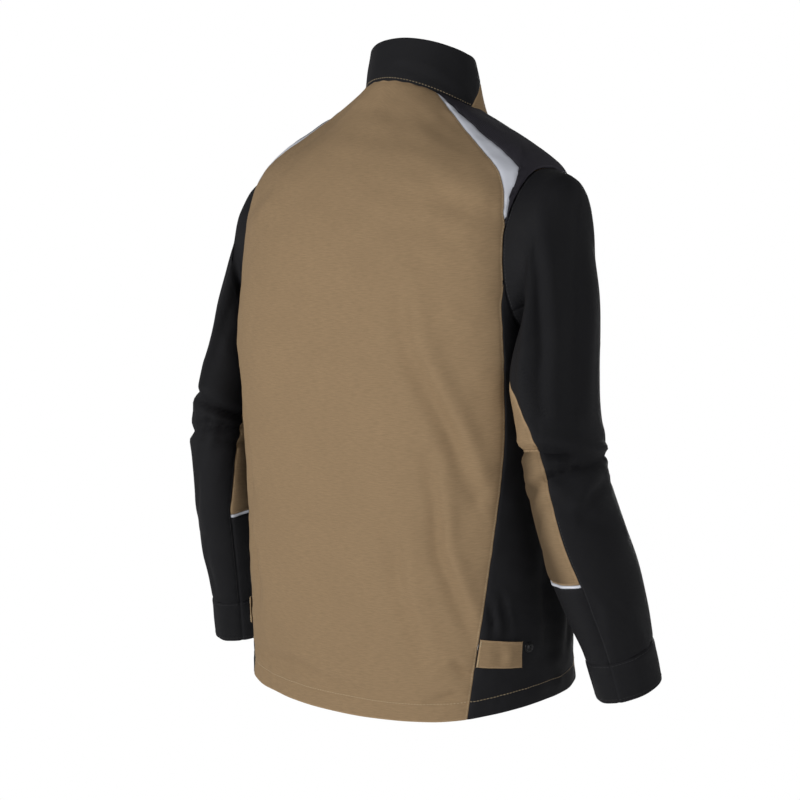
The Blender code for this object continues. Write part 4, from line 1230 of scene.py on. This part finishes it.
def build_storm_flap():
    tall = FLAP_TOP_Z - FLAP_BOTTOM_Z
    grid = panel("storm_flap", storm_flap, (FLAP_WIDE, tall), "brown", (0.058, 0.60), ("flap_root",),
                 "storm_flap", relief=strip_relief(51), thick=FLAP_THICK * 0.9, edges="ffff")
    rows = beside(grid, 0.0050, "left") + beside(grid, 0.0100, "left") + beside(grid, 0.0050, "low", "high")
    sewn("storm_flap_stitching", "beige_thread", rows, "storm_flap")
    panel("flap_root", flap_root, (0.016, tall), "brown", (0.018, 0.60), ("front_panel_left",),
          relief=strip_relief(52, 0.0003), edges="ffff", step=0.0024)


def teeth(name, mirror):
    """One row of zip teeth; the two rows stand half a pitch apart."""
    shape = bmesh.new()
    for k in range(int((ZIP_TOP_Z - ZIP_BOTTOM_Z) / TOOTH_PITCH)):
        z = ZIP_BOTTOM_Z + (k + (0.75 if mirror > 0 else 0.25)) * TOOTH_PITCH
        start = len(shape.verts)
        bmesh.ops.create_cube(shape, size=1.0)
        shape.verts.ensure_lookup_table()
        tooth = shape.verts[start:]
        bmesh.ops.scale(shape, verts=tooth, vec=TOOTH_SIZE)
        for vert in tooth:
            if vert.co.x * mirror > 0:
                vert.co.z *= 0.7
        bmesh.ops.translate(shape, verts=tooth, vec=(-mirror * 0.0017, track(z) + 0.0014, z))
    made = bmesh_object(name, shape, LOOKS["metal"])
    made.data.shade_smooth()
    soften = made.modifiers.new("soft corners", "BEVEL")
    soften.width = 0.0003
    soften.segments = 2
    return made


def build_zip():
    for side, mirror in SIDES.items():
        wear(teeth("zip_teeth_" + side + "_row", mirror), "jacket_body", "metal", "zip_teeth_" + side)
        panel("zip_tape_" + side, zip_tape, (0.023, ZIP_TOP_Z - ZIP_BOTTOM_Z), "black", (0.025, 0.68),
              ("front_panel_" + side,), mirror=mirror, thick=0.0008, step=0.0030, edges="ffff")
    for node in ("zip_stop", "zip_slider", "zip_pull"):
        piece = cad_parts[node]
        piece.data.materials.clear()
        piece.data.materials.append(LOOKS["metal"])


def zip_tape(s, t):
    """Tape from the teeth, s 1, to its stitching behind the front panel, s 0."""
    v, x = t, 0.0026 + 0.0230 * (1 - s)
    panel_at = torso(heading_at(x, v), v)
    y = track(panel_at[..., 2]) + 0.0046
    y = y + (panel_at[..., 1] + 0.0030 - y) * smooth((x - 0.005) / 0.009)
    return np.stack([x, v], -1), np.stack([-x, y, panel_at[..., 2]], -1)


# ---------------------------------------------------------------- pockets, tabs, loop
def build_pockets(side, mirror):
    def flat_on(start, end, low, high, lift, slant=0.0):
        """Surface on the front between two headings and two height shares; slant turns it."""
        def at(s, t):
            phi = np.radians(start + (end - start) * (t if slant else s) + slant * s)
            v = low + (high - low) * t
            return np.stack([phi, v], -1), torso(phi, v, lift)
        return at

    outer, inner, low, high = POCKET
    under = ("front_panel_" + side,)
    shape = dict(mirror=mirror, relief=mirrored(torso_relief, mirror), edges="ffff")
    sides = ("left", "right", "low")
    pocket = flat_on(outer, inner, low, high, CLOTH + LAID)
    grid = panel("chest_pocket_" + side, pocket, (0.115, 0.115), "brown", (0.125, 0.125), under, **shape)
    rows = beside(grid, 0.0024, *sides) + beside(grid, 0.0080, *sides)
    sewn("chest_pocket_stitching_" + side, "beige_thread", rows, radius=FINE_THREAD)
    edge = np.degrees(0.01)
    cover = flat_on(outer - edge, inner + edge, POCKET_FLAP_LOW, high + 0.006, 2 * CLOTH + 0.0014)
    grid = panel("chest_flap_" + side, cover, (0.12, 0.045), "brown", (0.13, 0.048), under,
                 "chest_flap_" + side, **shape)
    rows = beside(grid, 0.0024, *sides) + beside(grid, 0.0060, "high")
    sewn("chest_flap_stitching_" + side, "beige_thread", rows, "chest_flap_" + side, radius=FINE_THREAD)
    grid = panel("hand_pocket_welt_" + side, flat_on(*WELT, CLOTH + LAID, slant=WELT_WIDE), (0.026, 0.165),
                 "black", (0.026, 0.17), under, **shape)
    sewn("hand_pocket_stitching_" + side, "beige_thread", beside(grid, EDGE_ROW, *sides, "high"),
         radius=FINE_THREAD)


def build_waist(side, mirror):
    start, end, low, high = TAB

    def strap(s, t):
        v = low + 0.004 + (high - low + 0.004) * t - TAB_DROOP * s
        root = np.degrees(back_seam(v)) + 0.35
        phi = np.radians(root + (end - root) * s)
        key = np.stack([np.radians(start + (end - start) * s), low + (high - low) * t], -1)
        return key, torso(phi, v, CLOTH + LAID)

    name = "waist_tab_" + side
    made, grid = cloth(name + "_cloth", strap, 0.055, 0.032, LOOKS["brown"], mirror, tab_relief, thick=0.0020,
                       step=0.0026, edges="ffff")
    top, bottom, beyond = (strap(np.array(s), np.array(t))[1] * (mirror, 1, 1)
                           for s, t in ((0, 1), (0, 0), (0.1, 0)))
    root = (top - bottom) / np.linalg.norm(top - bottom)
    way = beyond - bottom - root * np.dot(beyond - bottom, root)
    way /= np.linalg.norm(way)
    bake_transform(made)
    settle((name,))
    sew = stitches("waist_tab_stitching_" + side, beside(grid, EDGE_ROW, "right", "low", "high"),
                   LOOKS["brown_thread"], radius=FINE_THREAD)
    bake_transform(sew)
    settle()
    bars = [row_beside(grid, "left", distance, *ends) for distance in (0.0010, 0.0016)
            for ends in ((0.02, 0.36), (0.70, 0.98))]
    sewn("waist_tab_bartack_" + side, "beige_thread", bars, pitch=0.0022, length=0.0024, radius=0.00045)
    phi, v = np.radians(STUD_AT[0]), STUD_AT[1]
    spot = torso(phi, v, 0.0012) * (mirror, 1, 1)
    outward = (torso(phi, v, 0.02) - torso(phi, v)) * (mirror, 1, 1)
    made = turned("waist_snap_" + side, STUD_PROFILE, spot, outward, LOOKS["enamel"])
    wear(made, "jacket_body", "enamel", "waist_stud_" + side)


def tab_relief(phi, v):
    """The tab lies a little crumpled towards its free end."""
    start, end, low, high = TAB
    s = (np.degrees(np.abs(phi)) - start) / (end - start)
    t = (v - low) / (high - low)
    soft = 0.0020 * bump(np.hypot(s - 0.72, 0.5 * (t - 0.45)), 0.16)
    hollow = 0.0016 * bump(np.hypot(s - 0.52, 0.5 * (t - 0.40)), 0.12)
    return soft - hollow + 0.0004 * ripple(s * 0.07, t * 0.03, 61, 0.03)


def build_hanger():
    def strap(s, t):
        x = HANGER_HALF * (1 - 2 * s)
        sag = 1 - (2 * s - 1) ** 2
        y = HANGER_Y - 0.004 * sag
        z = -0.014 - 0.012 * sag + 0.008 * t
        return np.stack([x, z], -1), np.stack([x, y, z], -1)

    made, grid = cloth("hanger_loop_tape", strap, 0.065, 0.008, LOOKS["black"], thick=0.0016, step=0.0020,
                       edges="ffff")
    wear(made, "jacket_body", "black", "hanger_loop", flat=(0.068, 0.010), hangs_on=["collar_back"])
    sewn("hanger_loop_stitching", "black_thread", beside(grid, 0.003, "left", "right"), pitch=0.0016,
         length=0.0014)


# ---------------------------------------------------------------- studio
VIEW_HEADING, VIEW_PITCH, VIEW_DISTANCE = np.radians(40.7), np.radians(6.17), 2.41
# lamps: name, metres along the view, sideways and up from the jacket, size, power
LAMPS = (("key", -1.6, -2.2, 0.25, 0.6, 49), ("fill", -2.2, 1.0, 0.1, 1.2, 15),
         ("front", 2.4, 0.6, 0.2, 1.4, 35))
FLOOR_AT = (0, 0.03, -1.45)


def place(name, data, at, way):
    """A lamp or camera in the scene, looking along a direction."""
    made = bpy.data.objects.new(name, data)
    made.location = at
    made.rotation_mode = "QUATERNION"
    made.rotation_quaternion = way.to_track_quat("-Z", "Y")
    bpy.context.scene.collection.objects.link(made)
    return made


def build_studio():
    forward = Vector((np.sin(VIEW_HEADING) * np.cos(VIEW_PITCH), -np.cos(VIEW_HEADING) * np.cos(VIEW_PITCH),
                      -np.sin(VIEW_PITCH)))
    sideways = Vector((-np.cos(VIEW_HEADING), -np.sin(VIEW_HEADING), 0))
    lens = bpy.data.cameras.new("camera")
    lens.lens = 90
    lens.sensor_width = 36
    target = Vector((0, 0.03, -0.38)) - 0.012 * sideways
    bpy.context.scene.camera = place("camera", lens, target - VIEW_DISTANCE * forward, forward)
    middle = Vector((0, 0.03, -0.40))
    for name, along, aside, up, size, watts in LAMPS:
        lamp = bpy.data.lights.new(name, "AREA")
        lamp.shape = "DISK"
        lamp.size = size
        lamp.energy = watts
        at = middle + along * forward + aside * sideways + up * Vector((0, 0, 1))
        place(name, lamp, at, middle - at)
    build_world()
    bpy.context.scene.view_settings.view_transform = "Standard"
    shape = bmesh.new()
    bmesh.ops.create_circle(shape, cap_ends=True, segments=96, radius=1.5)
    floor = bmesh_object("studio_floor", shape, floor_look())
    floor.location = FLOOR_AT


def build_world():
    """Soft white surroundings that the camera sees as plain white, and that light more from below."""
    world = bpy.data.worlds.new("studio")
    world.use_nodes = True
    bpy.context.scene.world = world
    nodes, links = world.node_tree.nodes, world.node_tree.links
    plain, seen = nodes["Background"], nodes.new("ShaderNodeBackground")
    for ground in (plain, seen):
        ground.inputs["Color"].default_value = (1, 1, 1, 1)
    seen.inputs["Strength"].default_value = 1.0
    split = nodes.new("ShaderNodeSeparateXYZ")
    links.new(nodes.new("ShaderNodeTexCoord").outputs["Generated"], split.inputs[0])
    fall = nodes.new("ShaderNodeMapRange")
    for key, number in (("From Min", 0.0), ("From Max", 0.8), ("To Min", 0.46), ("To Max", 0.12)):
        fall.inputs[key].default_value = number
    links.new(split.outputs[2], fall.inputs["Value"])
    links.new(fall.outputs[0], plain.inputs["Strength"])
    choose = nodes.new("ShaderNodeMixShader")
    links.new(nodes.new("ShaderNodeLightPath").outputs["Is Camera Ray"], choose.inputs[0])
    links.new(plain.outputs[0], choose.inputs[1])
    links.new(seen.outputs[0], choose.inputs[2])
    links.new(choose.outputs[0], nodes["World Output"].inputs["Surface"])


def main():
    build_studio()
    build_back()
    build_collar()
    build_storm_flap()
    build_zip()
    build_hanger()
    for side, mirror in SIDES.items():
        build_side(side, mirror)
        build_front(side, mirror)
        build_shoulder(side, mirror)
        build_sleeve(side, mirror)
        build_pockets(side, mirror)
        build_waist(side, mirror)


main()
bpy.context.view_layer.update()
